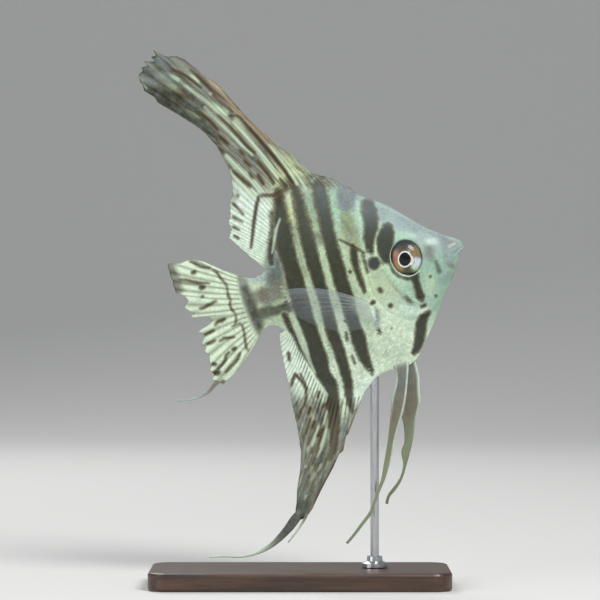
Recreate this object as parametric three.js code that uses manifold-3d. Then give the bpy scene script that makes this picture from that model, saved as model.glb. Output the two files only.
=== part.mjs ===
// A freshwater angelfish, life size and still, on a plain display stand. Millimetres, +Z up.
// The snout points to +X with the nose raised, and the fish's right side faces -Y.
// The fish has a frame of its own: s runs back from the tip of the snout, h runs up from the body's
// axis and y runs across. In three.js terms that is x = -s, y and z = h, inside one turned group.

import * as THREE from 'three';
import { mergeVertices } from 'three/addons/utils/BufferGeometryUtils.js';
import Module from 'manifold-3d';

const wasm = await Module();
wasm.setup();

// Driving dimensions
const NOSE_UP = 16.1; // degrees from level
const SNOUT_X = 49.2;
const SNOUT_Z = 102;
const GAP = 0.3; // between neighbours
const BASE_LENGTH = 90;
const BASE_DEPTH = 40;
const BASE_HEIGHT = 5.5;
const BASE_CORNER = 5;
const BASE_BEVEL = 0.8;
const ROD_RADIUS = 1.3;
const ROD_S = 37; // where the rod meets the belly
const ROD_IN_BELLY = 5;
const FERRULE_RADIUS = 4;
const FERRULE_HEIGHT = 3.2;
const MEMBRANE_HALF = 0.29; // half the thickness of a fin
const EYE = { s: 17.8, h: 1.5, y: 3.2, along: 4.7, across: 2.5, tall: 5.5 };
const GILL_PLATE_DEPTH = 2.2; // height of its flat inner face over the mid-plane
const GILL_PLATE_PROUD = 0.22;

// Upper and lower edge of the body, [s, h], and its half width at the thickest, [s, y]
const BACK = [
  [0, 0.4], [0.3, 1.4], [1.5, 2.75], [3, 3.75], [5, 5.05], [7.5, 6.9], [10, 9], [12.5, 11.6], [15, 14.3],
  [17.5, 17], [20, 19.3], [22.5, 21.2], [25, 22.9], [27.3, 24.9], [30, 26.6], [35, 28.2], [40, 28.8],
  [45, 28.4], [48, 27.4], [50, 25.8], [52, 23], [54, 19.6], [56, 15.2], [58, 11.3], [59, 10],
  [60.5, 8.8], [62.5, 8.3], [65, 8.9], [66.5, 9.8],
];
const BELLY = [
  [0, -0.2], [0.5, -0.9], [1.7, -1.8], [2.6, -3.2], [3.5, -4.9], [5, -7], [7.2, -10], [10, -13.1],
  [12, -15.7], [15.2, -20], [20, -25.4], [23, -28.8], [26, -29.9], [30, -29.7], [33.5, -30], [36, -31],
  [38, -32.2], [40, -33.5], [41, -34.2], [44, -34], [47, -33], [50, -31.4], [52, -29.2], [53.3, -26.5],
  [54.2, -23], [55, -19], [56, -14.5], [57.5, -11], [59, -9], [60.5, -7.6], [62, -6.9], [63.5, -7],
  [65, -8], [66.5, -9.2],
];
const HALF_WIDTH = [
  [0, 0.35], [0.4, 1.15], [1.5, 2], [3, 2.7], [6, 3.5], [10, 4.2], [15, 4.8], [20, 5.2], [26, 5.6],
  [32, 5.7], [40, 5.2], [48, 4.2], [54, 3.2], [60, 2.4], [64, 2], [66.5, 1.7],
];
const STATIONS = [
  0.35, 1, 2, 3.2, 5, 7.5, 10, 12.5, 15, 17.5, 20, 22.5, 25, 27.3, 30, 33, 36, 39, 41, 44, 47, 49,
  50.5, 52, 53, 54, 55, 56, 57, 58, 59, 60.5, 62.5, 64.5, 66,
];
const RING_STEPS = 12; // from the back to the belly, on each side

// Rays of the fins that grow from the edge of the body: [s of the root, s and h of the tip, slope of
// the root in degrees]
const DORSAL_RAYS = [
  [27.3, 27.9, 26.3, 60], [30, 32.4, 30.6, 62], [34, 38, 34, 64], [37.5, 42.6, 41.5, 69],
  [39.2, 46.9, 47.2, 70], [40.4, 52, 55.3, 71], [41.6, 58.7, 69.5, 72], [41.8, 59.5, 69.2, 72],
  [42.1, 62, 72.9, 72], [42.8, 66, 78.4, 71], [43.8, 70, 79.4, 70], [44.6, 73.4, 82.4, 69],
  [45.3, 75, 80.1, 68], [45.9, 77.3, 80.2, 67], [46.4, 78.6, 78, 66], [47, 79.9, 76, 66],
  [47.6, 79.2, 73.6, 65], [48.1, 79.7, 71.9, 66], [48.6, 77.2, 69.6, 68], [49.1, 76.4, 67, 70],
  [50, 70.4, 61.2, 71], [50.7, 65.8, 55.4, 70], [51.3, 63, 49.4, 67], [52, 61.4, 42, 63],
  [52.6, 61.6, 38, 60], [53.2, 62.3, 34.8, 58], [53.8, 63.9, 32.2, 55], [54.4, 64.4, 30, 52],
  [55, 65.1, 27.6, 49], [55.5, 66, 26.6, 47], [56.1, 65.6, 24.4, 45], [56.8, 67.1, 22, 42],
  [57.5, 65.2, 19, 40], [58.3, 62.3, 14.4, 40], [59, 60.2, 11.6, 42],
];
const ANAL_RAYS = [
  [41, 41.6, -35, -60], [42.5, 45.6, -40, -62], [44, 49, -44.6, -64], [44.6, 49.8, -45, -65],
  [45.8, 52, -49.4, -66], [46.3, 53.4, -49.6, -66], [47, 56, -53, -65], [47.7, 61, -58, -64],
  [48.3, 65.5, -63.2, -63], [48.8, 68.6, -65.6, -62], [49.2, 71.2, -65.4, -61], [49.7, 70.9, -62.8, -60],
  [50.2, 69.6, -60, -59], [50.7, 68.8, -57.4, -58], [51, 68.2, -55.9, -58], [51.6, 66, -51.2, -57],
  [52.3, 64.3, -46.4, -55], [53.2, 63.4, -40.5, -53], [53.8, 63, -36, -54], [54.5, 62.8, -31.5, -57],
  [55.2, 62.2, -26, -59], [56, 61.9, -21.5, -61], [57, 61.5, -16, -64], [58, 61, -12, -68],
  [59, 60.4, -9.4, -70],
];
// Rays of the tail fin: [place of the root from the top to the bottom of the stalk, tip, slope]
const CAUDAL_RAYS = [
  [0, 67.6, 10.4, 36], [0.03, 72.5, 13.9, 36], [0.06, 76.3, 17.1, 35], [0.09, 79.8, 19.2, 33],
  [0.125, 83.4, 18.6, 30], [0.16, 86.9, 19.8, 28], [0.2, 87.3, 17.4, 25], [0.27, 87.1, 14, 20],
  [0.335, 87.2, 11.2, 15], [0.375, 86.4, 9.7, 13], [0.4, 84.7, 9, 12], [0.425, 84.1, 7.2, 10],
  [0.445, 86, 6.3, 9], [0.465, 85.6, 5.2, 8], [0.485, 84.4, 3.9, 6], [0.5, 83.6, 3.1, 5],
  [0.515, 85.2, 2.6, 4], [0.53, 83.8, 1.8, 3], [0.545, 80.4, 1.6, 2], [0.56, 78.8, -0.4, 0],
  [0.58, 80.6, -1.7, -2], [0.6, 84.2, -2.6, -3], [0.62, 82.6, -3.9, -4], [0.64, 82.6, -4.9, -5],
  [0.66, 84, -6.4, -7], [0.675, 84.1, -7, -8], [0.69, 82.6, -7.4, -9], [0.71, 83.7, -9, -11],
  [0.74, 82.8, -10.4, -14], [0.78, 83.1, -13, -17], [0.82, 83.6, -14.8, -21], [0.855, 82.9, -16.4, -25],
  [0.885, 83.8, -17.7, -28], [0.915, 82.6, -18.9, -31], [0.94, 80.8, -19.8, -34],
  [0.965, 76.5, -17.9, -37], [0.985, 71.6, -13.8, -39], [1, 67.4, -10, -40],
];
const CAUDAL_ROOT = { s: 66 + GAP, top: 9.3, bottom: -8.9 };
const PECTORAL_RAYS = [
  [0, 55.2, 2.2, 27], [0.15, 56, 0, 21], [0.3, 55.8, -2.8, 14], [0.5, 53.5, -7, 5],
  [0.7, 48.5, -11.5, -5], [0.85, 42.5, -14.6, -15], [1, 36.8, -15.4, -24],
];
const PECTORAL_ROOT = { s: 31.6, top: -8.9, bottom: -13.1, splay: 0.4 };

// Front and rear edge of each pelvic fin, [s, h], in step with each other
const PELVIC_RIGHT = {
  front: [
    [25.8, -28.4], [28, -35.6], [30.1, -40.5], [32, -43.7], [34.2, -46.8], [36.1, -49.9], [38.3, -54.2],
    [40.2, -57.5], [42.4, -60.8], [44.9, -63.8], [46.8, -66.4], [48.9, -69.2], [52.5, -71.9],
    [55.4, -74], [58.2, -75.8],
  ],
  rear: [
    [29.9, -28.4], [30.7, -32.9], [33.6, -38.1], [34.7, -41.1], [36.9, -46.6], [37.8, -48.7],
    [39.6, -52.6], [41.5, -56.4], [43.4, -60.2], [45.5, -63], [47.4, -65.8], [49.6, -68.5],
    [53, -71.1], [55.9, -73.3], [58.7, -75.2],
  ],
};
const PELVIC_LEFT = {
  front: [
    [23.6, -28], [23.6, -34], [24.5, -37.8], [25.2, -41.1], [26.3, -42.7], [27.7, -44.9], [29, -47.7],
    [31.2, -52.6], [34.2, -57.8], [37.2, -62.4], [40, -65], [42.1, -66.5], [43.3, -68.5],
  ],
  rear: [
    [28.5, -28.4], [29.6, -34], [31, -39], [32, -43.7], [32.3, -47.1], [33.4, -51.5], [35.1, -54.2],
    [35.6, -57.9], [36.9, -60.6], [38.6, -62.6], [40.6, -64.1], [42.7, -65.8], [44.1, -68],
  ],
};
const PELVIC_SPREAD = { root: 0.75, tip: 5.6 }; // from the mid-plane

// Long threads that fins end in: [s, h, y, radius]
const ANAL_THREAD = [
  [68.6, -62.6, 0.5, 0.5], [71.5, -64.8, 0.6, 0.5], [75, -67.2, 0.7, 0.45], [80, -69.9, 0.8, 0.4],
  [85, -71.3, 0.9, 0.36], [90, -71, 0.9, 0.33], [95, -69.5, 0.8, 0.31], [99.6, -68.4, 0.7, 0.29],
];
const ANAL_SIDE_THREAD = [
  [66.6, -63, 0.4, 0.4], [68.4, -65.2, 0.5, 0.36], [71.5, -68, 0.4, 0.31], [75.5, -70.9, 0.2, 0.29],
];
const CAUDAL_THREAD = [
  [81, -18, 0.5, 0.45], [83.5, -19.3, 0.6, 0.4], [86, -20.9, 0.7, 0.36], [89.5, -21.6, 0.8, 0.33],
  [93, -21.3, 0.9, 0.31], [96.5, -20.5, 0.9, 0.29],
];

// Outlines that part the body, [s, h]
const HEAD_OUTLINE = [
  [-5, 32], [27.4, 32], [28.6, 16], [30.6, 4], [30.4, -4], [29.6, -8.6], [27.8, -12.6], [24.8, -15.6],
  [21.4, -17.2], [17.6, -18.6], [14.6, -27], [-5, -27],
];
const JAW_OUTLINE = [[-3, 0.1], [2, -0.1], [4.4, -0.9], [6.2, -4.6], [4.6, -9], [-3, -9]];
const GILL_OUTLINE = [
  [24.4, 5.2], [28.4, 5], [30.2, 1.2], [30, -3.2], [29.1, -7.8], [27.4, -11.8], [24.6, -14.9],
  [21.6, -16.6], [18, -16.8], [16.4, -15.7], [17.6, -13.4], [20, -9.8], [22.2, -5.6], [23.8, -0.6],
];
const STALK_FRONT_S = 59.6;

// A smooth value at x from keys [x, a, b, ...]: a cubic through them with weighted slopes
function along(keys, x, column = 1) {
  const last = keys.length - 1;
  const at = THREE.MathUtils.clamp(x, keys[0][0], keys[last][0]);
  let i = 0;
  while (i < last - 1 && keys[i + 1][0] <= at) i++;
  const step = (k) => keys[k + 1][0] - keys[k][0];
  const rise = (k) => (keys[k + 1][column] - keys[k][column]) / step(k);
  const slope = (k) => {
    if (k === 0) return rise(0);
    if (k === last) return rise(last - 1);
    return (rise(k - 1) * step(k) + rise(k) * step(k - 1)) / (step(k - 1) + step(k));
  };
  const t = (at - keys[i][0]) / step(i);
  const a = keys[i][column] * (2 * t ** 3 - 3 * t ** 2 + 1) + keys[i + 1][column] * (3 * t ** 2 - 2 * t ** 3);
  const b = slope(i) * (t ** 3 - 2 * t ** 2 + t) + slope(i + 1) * (t ** 3 - t ** 2);
  return a + b * step(i);
}

const smoothstep = (x, low, high) => THREE.MathUtils.smoothstep(x, low, high);

// Half width of the body at (s, h): a lens from back to belly, fuller at the head, with a round edge
function halfWidth(s, h) {
  const top = along(BACK, s);
  const bottom = along(BELLY, s);
  const middle = Math.min(Math.max(-0.5, bottom + 0.4), top - 0.4);
  const reach = h > middle ? top - middle : middle - bottom;
  const edge = Math.min(Math.abs(h - middle) / reach, 1);
  const widest = along(HALF_WIDTH, s);
  const fullness = 0.55 + 0.38 * smoothstep(s, 4, 34);
  const lens = widest * (1 - edge ** 1.8) ** fullness;
  const round = Math.min(0.8, 0.4 * widest) * Math.sqrt(1 - edge ** 2);
  return Math.hypot(lens, round) * (widest / Math.hypot(widest, Math.min(0.8, 0.4 * widest)));
}

// Sideways lean of the fins: the top of the dorsal fin folds away from the right side behind a crease,
// the tail fin and the anal fin wave a little
function lean(s, h) {
  const crease = { s: 65.5, h: 66, back: 0.573, up: 0.819 };
  const ahead = (s - crease.s) * crease.back + (h - crease.h) * crease.up;
  const behind = (s - crease.s) * crease.up - (h - crease.h) * crease.back;
  const fold = 0.62 * Math.log(1 + Math.exp(behind)) * smoothstep(ahead, -13, 3);
  const dorsal = h > 40 ? fold * smoothstep(h, 40, 60) : 0;
  const tail = Math.abs(h) < 24 ? 0.9 * Math.sin((s - 66) / 8) * smoothstep(s, 66, 74) : 0;
  const anal = h < -34 ? 0.6 * smoothstep(-h, 34, 60) : 0;
  return dorsal + tail + anal;
}

// A closed geometry from corner positions and triangles, turned so that its faces point outwards
function closed(positions, triangles) {
  const corner = (k) => new THREE.Vector3().fromArray(positions, 3 * k);
  let volume = 0;
  for (let t = 0; t < triangles.length; t += 3) {
    const [a, b, c] = [corner(triangles[t]), corner(triangles[t + 1]), corner(triangles[t + 2])];
    volume += a.dot(b.cross(c));
  }
  if (volume < 0) triangles.reverse();
  const geometry = new THREE.BufferGeometry();
  geometry.setAttribute('position', new THREE.Float32BufferAttribute(positions, 3));
  geometry.setIndex(triangles);
  return geometry;
}

function solid(geometry) {
  const bare = geometry.clone();
  bare.deleteAttribute('normal');
  bare.deleteAttribute('uv');
  const merged = mergeVertices(bare, 1e-4);
  const vertProperties = merged.attributes.position.array;
  return new wasm.Manifold(new wasm.Mesh({ numProp: 3, vertProperties, triVerts: merged.index.array }));
}

function geometryOf(manifold) {
  const { vertProperties, triVerts } = manifold.getMesh();
  const geometry = new THREE.BufferGeometry();
  geometry.setAttribute('position', new THREE.Float32BufferAttribute(vertProperties, 3));
  geometry.setIndex([...triVerts]);
  geometry.computeVertexNormals();
  return geometry;
}

// The body from snout to tail root, rings of points joined station by station, grown by a margin
function bodySolid(grow) {
  const positions = [grow, 0, 0.1];
  const ringSize = 2 * RING_STEPS;
  for (const s of STATIONS) {
    const last = s === STATIONS[STATIONS.length - 1];
    const top = along(BACK, s);
    const bottom = along(BELLY, s);
    for (let k = 0; k < ringSize; k++) {
      const side = k < RING_STEPS ? -1 : 1;
      const turn = (Math.PI * k) / RING_STEPS;
      const h = (top + bottom) / 2 + (Math.cos(turn) * (top - bottom)) / 2;
      const onEdge = k % RING_STEPS === 0;
      const y = onEdge ? 0 : side * (halfWidth(s, h) + grow);
      positions.push(-s - (last ? grow : 0), y, h + grow * Math.cos(turn));
    }
  }
  const triangles = [];
  const at = (station, k) => 1 + station * ringSize + (k % ringSize);
  for (let k = 0; k < ringSize; k++) triangles.push(0, at(0, k + 1), at(0, k));
  for (let i = 0; i < STATIONS.length - 1; i++) {
    for (let k = 0; k < ringSize; k++) {
      triangles.push(at(i, k), at(i, k + 1), at(i + 1, k), at(i, k + 1), at(i + 1, k + 1), at(i + 1, k));
    }
  }
  const end = STATIONS.length - 1;
  positions.push(-STATIONS[end] - grow, 0, 0.4);
  const centre = 1 + STATIONS.length * ringSize;
  for (let k = 0; k < ringSize; k++) triangles.push(centre, at(end, k), at(end, k + 1));
  return solid(closed(positions, triangles));
}

// A straight prism across the fish over an outline [s, h], between two distances from the mid-plane
function prism(outline, from, to) {
  const shape = new THREE.Shape(outline.map(([s, h]) => new THREE.Vector2(-s, h)));
  const geometry = new THREE.ExtrudeGeometry(shape, { depth: to - from, bevelEnabled: false });
  return solid(geometry.rotateX(Math.PI / 2).translate(0, to, 0));
}

// The outline moved outwards by a margin, corner by corner along the mean of its two edge normals
function grown(outline, margin) {
  const points = outline.map(([s, h]) => new THREE.Vector2(s, h));
  const turn = THREE.ShapeUtils.area(points) > 0 ? 1 : -1;
  return points.map((point, i) => {
    const before = point.clone().sub(points.at(i - 1)).normalize();
    const after = points[(i + 1) % points.length].clone().sub(point).normalize();
    const normal = new THREE.Vector2(before.y + after.y, -before.x - after.x).normalize();
    const stretch = margin / Math.max(normal.dot(new THREE.Vector2(before.y, -before.x)), 0.4);
    return [point.x + normal.x * stretch * turn, point.y + normal.y * stretch * turn];
  });
}

// A thin slab: one curved sheet set apart by its thickness, with a rim that closes its edges.
// sheet(i, j) gives [s, h, y, half thickness].
function slab(columns, rows, sheet) {
  const positions = [];
  for (const side of [-1, 1]) {
    for (let i = 0; i < columns; i++) {
      for (let j = 0; j < rows; j++) {
        const [s, h, y, half] = sheet(i, j);
        positions.push(-s, y + side * half, h);
      }
    }
  }
  const sheetSize = columns * rows;
  const at = (side, i, j) => side * sheetSize + i * rows + j;
  const triangles = [];
  const quad = (a, b, c, d) => triangles.push(a, b, c, a, c, d);
  for (let i = 0; i < columns - 1; i++) {
    for (let j = 0; j < rows - 1; j++) {
      quad(at(0, i, j), at(0, i, j + 1), at(0, i + 1, j + 1), at(0, i + 1, j));
      quad(at(1, i, j), at(1, i + 1, j), at(1, i + 1, j + 1), at(1, i, j + 1));
    }
  }
  const rim = [];
  for (let i = 0; i < columns; i++) rim.push([i, 0]);
  for (let j = 1; j < rows; j++) rim.push([columns - 1, j]);
  for (let i = columns - 2; i >= 0; i--) rim.push([i, rows - 1]);
  for (let j = rows - 2; j > 0; j--) rim.push([0, j]);
  rim.forEach(([i, j], k) => {
    const [m, n] = rim[(k + 1) % rim.length];
    quad(at(0, i, j), at(0, m, n), at(1, m, n), at(1, i, j));
  });
  return solid(closed(positions, triangles));
}

// A ray from its root to its tip: a quadratic curve that leaves the root along its slope
function rayPoint(root, tip, slope, v, reach = 0.45) {
  const length = Math.hypot(tip[0] - root[0], tip[1] - root[1]) * reach;
  const angle = THREE.MathUtils.degToRad(slope);
  const bend = [root[0] + length * Math.cos(angle), root[1] + length * Math.sin(angle)];
  return [0, 1].map((k) => (1 - v) ** 2 * root[k] + 2 * v * (1 - v) * bend[k] + v * v * tip[k]);
}

// A fin on the edge of the body, rooted 1.2 mm inside it
function edgeFin(rays, edge, rows) {
  const inset = 1.2;
  return slab(rays.length, rows, (i, j) => {
    const [rootS, tipS, tipH, slope] = rays[i];
    const angle = THREE.MathUtils.degToRad(slope);
    const edgeH = along(edge, rootS);
    const root = [rootS - inset * Math.cos(angle), edgeH - inset * Math.sin(angle)];
    const [s, h] = rayPoint(root, [tipS, tipH], slope, j / (rows - 1));
    return [s, h, lean(s, h), MEMBRANE_HALF];
  });
}

function tailFin(rows) {
  return slab(CAUDAL_RAYS.length, rows, (i, j) => {
    const [place, tipS, tipH, slope] = CAUDAL_RAYS[i];
    const v = j / (rows - 1);
    const rootH = THREE.MathUtils.lerp(CAUDAL_ROOT.top, CAUDAL_ROOT.bottom, place);
    const [s, h] = rayPoint([CAUDAL_ROOT.s, rootH], [tipS, tipH], slope, v);
    const thickening = 0.75 * (1 - v) ** 4 * (1 - (2 * place - 1) ** 2);
    return [s, h, lean(s, h), MEMBRANE_HALF + thickening];
  });
}

function pectoralFin(side, rows) {
  const { s: rootS, top, bottom, splay } = PECTORAL_ROOT;
  const rootY = halfWidth(rootS, (top + bottom) / 2) - 0.9;
  return slab(PECTORAL_RAYS.length, rows, (i, j) => {
    const [place, tipS, tipH, slope] = PECTORAL_RAYS[i];
    const v = j / (rows - 1);
    const [s, h] = rayPoint([rootS, THREE.MathUtils.lerp(top, bottom, place)], [tipS, tipH], slope, v);
    const out = rootY + splay * (s - rootS) + 1.1 * (1 - Math.exp(rootS - s));
    return [s, h, side * out, MEMBRANE_HALF + 0.3 * (1 - v) ** 6];
  });
}

function pelvicFin({ front, rear }, side) {
  const across = 3;
  return slab(across, front.length, (i, j) => {
    const share = i / (across - 1);
    const fall = j / (front.length - 1);
    const y = THREE.MathUtils.lerp(PELVIC_SPREAD.root, PELVIC_SPREAD.tip, fall ** 1.3);
    const [s, h] = [0, 1].map((k) => THREE.MathUtils.lerp(front[j][k], rear[j][k], share));
    return [s, h, side * y, MEMBRANE_HALF + 0.12 * (1 - fall) * (1 - (2 * share - 1) ** 2)];
  });
}

// A thread: rings of six points along its path, with a point at each end
function threadSolid(path) {
  const sides = 6;
  const positions = [];
  path.forEach(([s, h, y, radius], i) => {
    const [before, after] = [path[Math.max(i - 1, 0)], path[Math.min(i + 1, path.length - 1)]];
    const forward = new THREE.Vector2(after[0] - before[0], after[1] - before[1]).normalize();
    for (let k = 0; k < sides; k++) {
      const turn = (2 * Math.PI * k) / sides;
      const up = radius * Math.cos(turn);
      positions.push(-(s - forward.y * up), y + radius * Math.sin(turn), h + forward.x * up);
    }
  });
  const triangles = [];
  const at = (i, k) => i * sides + (k % sides);
  const last = path.length - 1;
  for (let i = 0; i < last; i++) {
    for (let k = 0; k < sides; k++) {
      triangles.push(at(i, k), at(i, k + 1), at(i + 1, k), at(i, k + 1), at(i + 1, k + 1), at(i + 1, k));
    }
  }
  for (let k = 1; k < sides - 1; k++) {
    triangles.push(at(0, 0), at(0, k + 1), at(0, k), at(last, 0), at(last, k), at(last, k + 1));
  }
  return solid(closed(positions, triangles));
}

function eyeSolid(side, grow) {
  const ball = new THREE.SphereGeometry(1, 16, 10);
  ball.scale(EYE.along + grow, EYE.across + grow, EYE.tall + grow);
  return solid(ball.translate(-EYE.s, side * EYE.y, EYE.h));
}

// The fish's group, and the rod's place in it
const fish = new THREE.Group();
fish.rotation.y = THREE.MathUtils.degToRad(-NOSE_UP);
fish.position.set(SNOUT_X, 0, SNOUT_Z);
fish.updateMatrixWorld(true);
const rodFoot = new THREE.Vector3(-ROD_S, 0, along(BELLY, ROD_S)).applyMatrix4(fish.matrixWorld);
const rodTop = rodFoot.z + ROD_IN_BELLY;

function rodGeometry(radius, bottom, top, sides) {
  const geometry = new THREE.CylinderGeometry(radius, radius, top - bottom, sides).rotateX(Math.PI / 2);
  return geometry.translate(rodFoot.x, 0, (top + bottom) / 2);
}

const SKIN = { color: 0x9aa89a, roughness: 0.45, metalness: 0 };
const PALE_SKIN = { color: 0xc3d3c1, roughness: 0.4, metalness: 0 };
const FIN = { color: 0xcfd9c8, roughness: 0.5, metalness: 0 };
const IRIS = { color: 0x2c2a28, roughness: 0.1, metalness: 0 };
const STAINED_WOOD = { color: 0x3a2a20, roughness: 0.45, metalness: 0 };
const STEEL = { color: 0xb9bcc0, roughness: 0.3, metalness: 1 };

function add(parent, name, geometry, finish) {
  const mesh = new THREE.Mesh(geometry, new THREE.MeshStandardMaterial(finish));
  mesh.name = name;
  parent.add(mesh);
}

// Flesh: one body, parted by thin cuts
const body = bodySolid(0);
const swollen = bodySolid(GAP);
const proud = bodySolid(GILL_PLATE_PROUD);
const wide = 20; // beyond either flank
const head = prism(HEAD_OUTLINE, -wide, wide);
const headGrown = prism(grown(HEAD_OUTLINE, GAP), -wide, wide);
const jaw = prism(JAW_OUTLINE, -wide, wide);
const jawGrown = prism(grown(JAW_OUTLINE, GAP), -wide, wide);
const stalkFrom = (s) => prism([[s, -30], [s, 30], [80, 30], [80, -30]], -wide, wide);
const socketRod = solid(rodGeometry(ROD_RADIUS + GAP, 0, rodTop + GAP, 14)
  .applyMatrix4(fish.matrixWorld.clone().invert()));

let cavities = socketRod;
for (const side of [-1, 1]) {
  const [near, far] = side < 0 ? [-wide, -GILL_PLATE_DEPTH] : [GILL_PLATE_DEPTH, wide];
  const plate = prism(GILL_OUTLINE, near, far);
  const bed = prism(grown(GILL_OUTLINE, GAP), side < 0 ? near : near - GAP, side < 0 ? far + GAP : far);
  const name = side < 0 ? 'right' : 'left';
  add(fish, `gill_cover_${name}`, geometryOf(proud.intersect(plate)), PALE_SKIN);
  cavities = cavities.add(bed).add(eyeSolid(side, GAP));
}
const flesh = body.subtract(cavities);
add(fish, 'head', geometryOf(flesh.intersect(head).subtract(jawGrown)), SKIN);
add(fish, 'lower_jaw', geometryOf(flesh.intersect(jaw)), SKIN);
add(fish, 'trunk', geometryOf(flesh.subtract(headGrown).subtract(stalkFrom(STALK_FRONT_S - GAP))), SKIN);
add(fish, 'tail_stalk', geometryOf(flesh.intersect(stalkFrom(STALK_FRONT_S))), SKIN);

// Eyes, each placed at its centre
for (const side of [-1, 1]) {
  const ball = new THREE.SphereGeometry(1, 16, 10).scale(EYE.along, EYE.across, EYE.tall);
  const name = side < 0 ? 'eye_right' : 'eye_left';
  add(fish, name, ball, IRIS);
  fish.getObjectByName(name).position.set(-EYE.s, side * EYE.y, EYE.h);
}

// Fins
add(fish, 'dorsal_fin', geometryOf(edgeFin(DORSAL_RAYS, BACK, 9).subtract(swollen)), FIN);
const anal = edgeFin(ANAL_RAYS, BELLY, 9).add(threadSolid(ANAL_THREAD)).add(threadSolid(ANAL_SIDE_THREAD));
add(fish, 'anal_fin', geometryOf(anal.subtract(swollen)), FIN);
add(fish, 'caudal_fin', geometryOf(tailFin(7).add(threadSolid(CAUDAL_THREAD))), FIN);
for (const side of [-1, 1]) {
  const [name, pelvic] = side < 0 ? ['right', PELVIC_RIGHT] : ['left', PELVIC_LEFT];
  add(fish, `pectoral_fin_${name}`, geometryOf(pectoralFin(side, 6).subtract(swollen)), FIN);
  add(fish, `pelvic_fin_${name}`, geometryOf(pelvicFin(pelvic, side).subtract(swollen)), FIN);
}

// Stand: a flat base with round corners, a ferrule and one rod
function standBase() {
  const [x, y, r] = [BASE_LENGTH / 2 - BASE_BEVEL, BASE_DEPTH / 2 - BASE_BEVEL, BASE_CORNER];
  const plan = new THREE.Shape();
  plan.moveTo(x, -y + r).absarc(x - r, y - r, r, 0, Math.PI / 2);
  plan.absarc(-x + r, y - r, r, Math.PI / 2, Math.PI).absarc(-x + r, -y + r, r, Math.PI, 1.5 * Math.PI);
  plan.absarc(x - r, -y + r, r, 1.5 * Math.PI, 2 * Math.PI);
  const depth = BASE_HEIGHT - 2 * BASE_BEVEL;
  const bevel = { bevelSize: BASE_BEVEL, bevelThickness: BASE_BEVEL, bevelSegments: 2 };
  return new THREE.ExtrudeGeometry(plan, { depth, curveSegments: 5, ...bevel }).translate(0, 0, BASE_BEVEL);
}

function ferrule() {
  const [inner, outer, low] = [ROD_RADIUS + GAP, FERRULE_RADIUS, BASE_HEIGHT + GAP];
  const profile = [
    [inner, 0], [outer, 0], [outer, 0.35 * FERRULE_HEIGHT], [0.6 * outer, 0.55 * FERRULE_HEIGHT],
    [inner + 0.7, FERRULE_HEIGHT], [inner, FERRULE_HEIGHT], [inner, 0],
  ].map(([r, z]) => new THREE.Vector2(r, z));
  return new THREE.LatheGeometry(profile, 20).rotateX(Math.PI / 2).translate(rodFoot.x, 0, low);
}

const stand = new THREE.Group();
add(stand, 'stand_base', standBase(), STAINED_WOOD);
add(stand, 'stand_ferrule', ferrule(), STEEL);
add(stand, 'stand_rod', rodGeometry(ROD_RADIUS, BASE_HEIGHT + GAP, rodTop, 14), STEEL);

const angelfish = new THREE.Group();
angelfish.add(fish, stand);

export default angelfish;
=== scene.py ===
"""A freshwater angelfish, life size and still, on a plain display stand, laid out as an add-on.

The fish has a frame of its own, in millimetres: s runs back from the tip of the snout, h runs up from
the body's axis and y runs across, with the right side on -y. Every shape and every marking is a function
of s and h, and to_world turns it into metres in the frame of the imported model.
"""

import math

import bpy
import numpy as np
from bpy.props import FloatProperty, FloatVectorProperty, PointerProperty
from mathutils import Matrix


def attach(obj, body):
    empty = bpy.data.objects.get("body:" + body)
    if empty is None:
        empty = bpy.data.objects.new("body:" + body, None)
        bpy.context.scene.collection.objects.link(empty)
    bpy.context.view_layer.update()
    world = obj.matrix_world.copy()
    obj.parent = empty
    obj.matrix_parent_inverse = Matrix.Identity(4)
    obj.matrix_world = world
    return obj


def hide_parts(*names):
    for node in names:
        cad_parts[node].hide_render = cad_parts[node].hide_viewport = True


bl_info = {
    "name": "Freshwater Angelfish",
    "version": (1, 0, 0),
    "blender": (4, 5, 0),
    "location": "View3D > Sidebar > Angelfish",
    "description": "Builds the looks of a life-size angelfish model on its display stand",
    "category": "Add Mesh",
}

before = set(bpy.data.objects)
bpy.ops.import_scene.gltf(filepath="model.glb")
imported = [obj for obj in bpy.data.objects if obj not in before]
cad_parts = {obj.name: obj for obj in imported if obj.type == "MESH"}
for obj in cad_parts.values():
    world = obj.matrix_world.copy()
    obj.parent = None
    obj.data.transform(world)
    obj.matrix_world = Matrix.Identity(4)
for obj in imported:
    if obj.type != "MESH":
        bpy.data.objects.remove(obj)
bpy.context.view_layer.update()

# Where the fish is

MM = 0.001
NOSE_UP = math.radians(16.1)
SNOUT_X = 49.2
SNOUT_Z = 102.0
TAIL_ROOT = 66  # s of the tail fin's root
ROD_X = 22.4
BOSS = {"out": 1.6, "reach": 2.5}  # the skin's swelling round the rod

# The body's upper and lower edge, (s, h), and its half width, (s, y)

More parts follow.
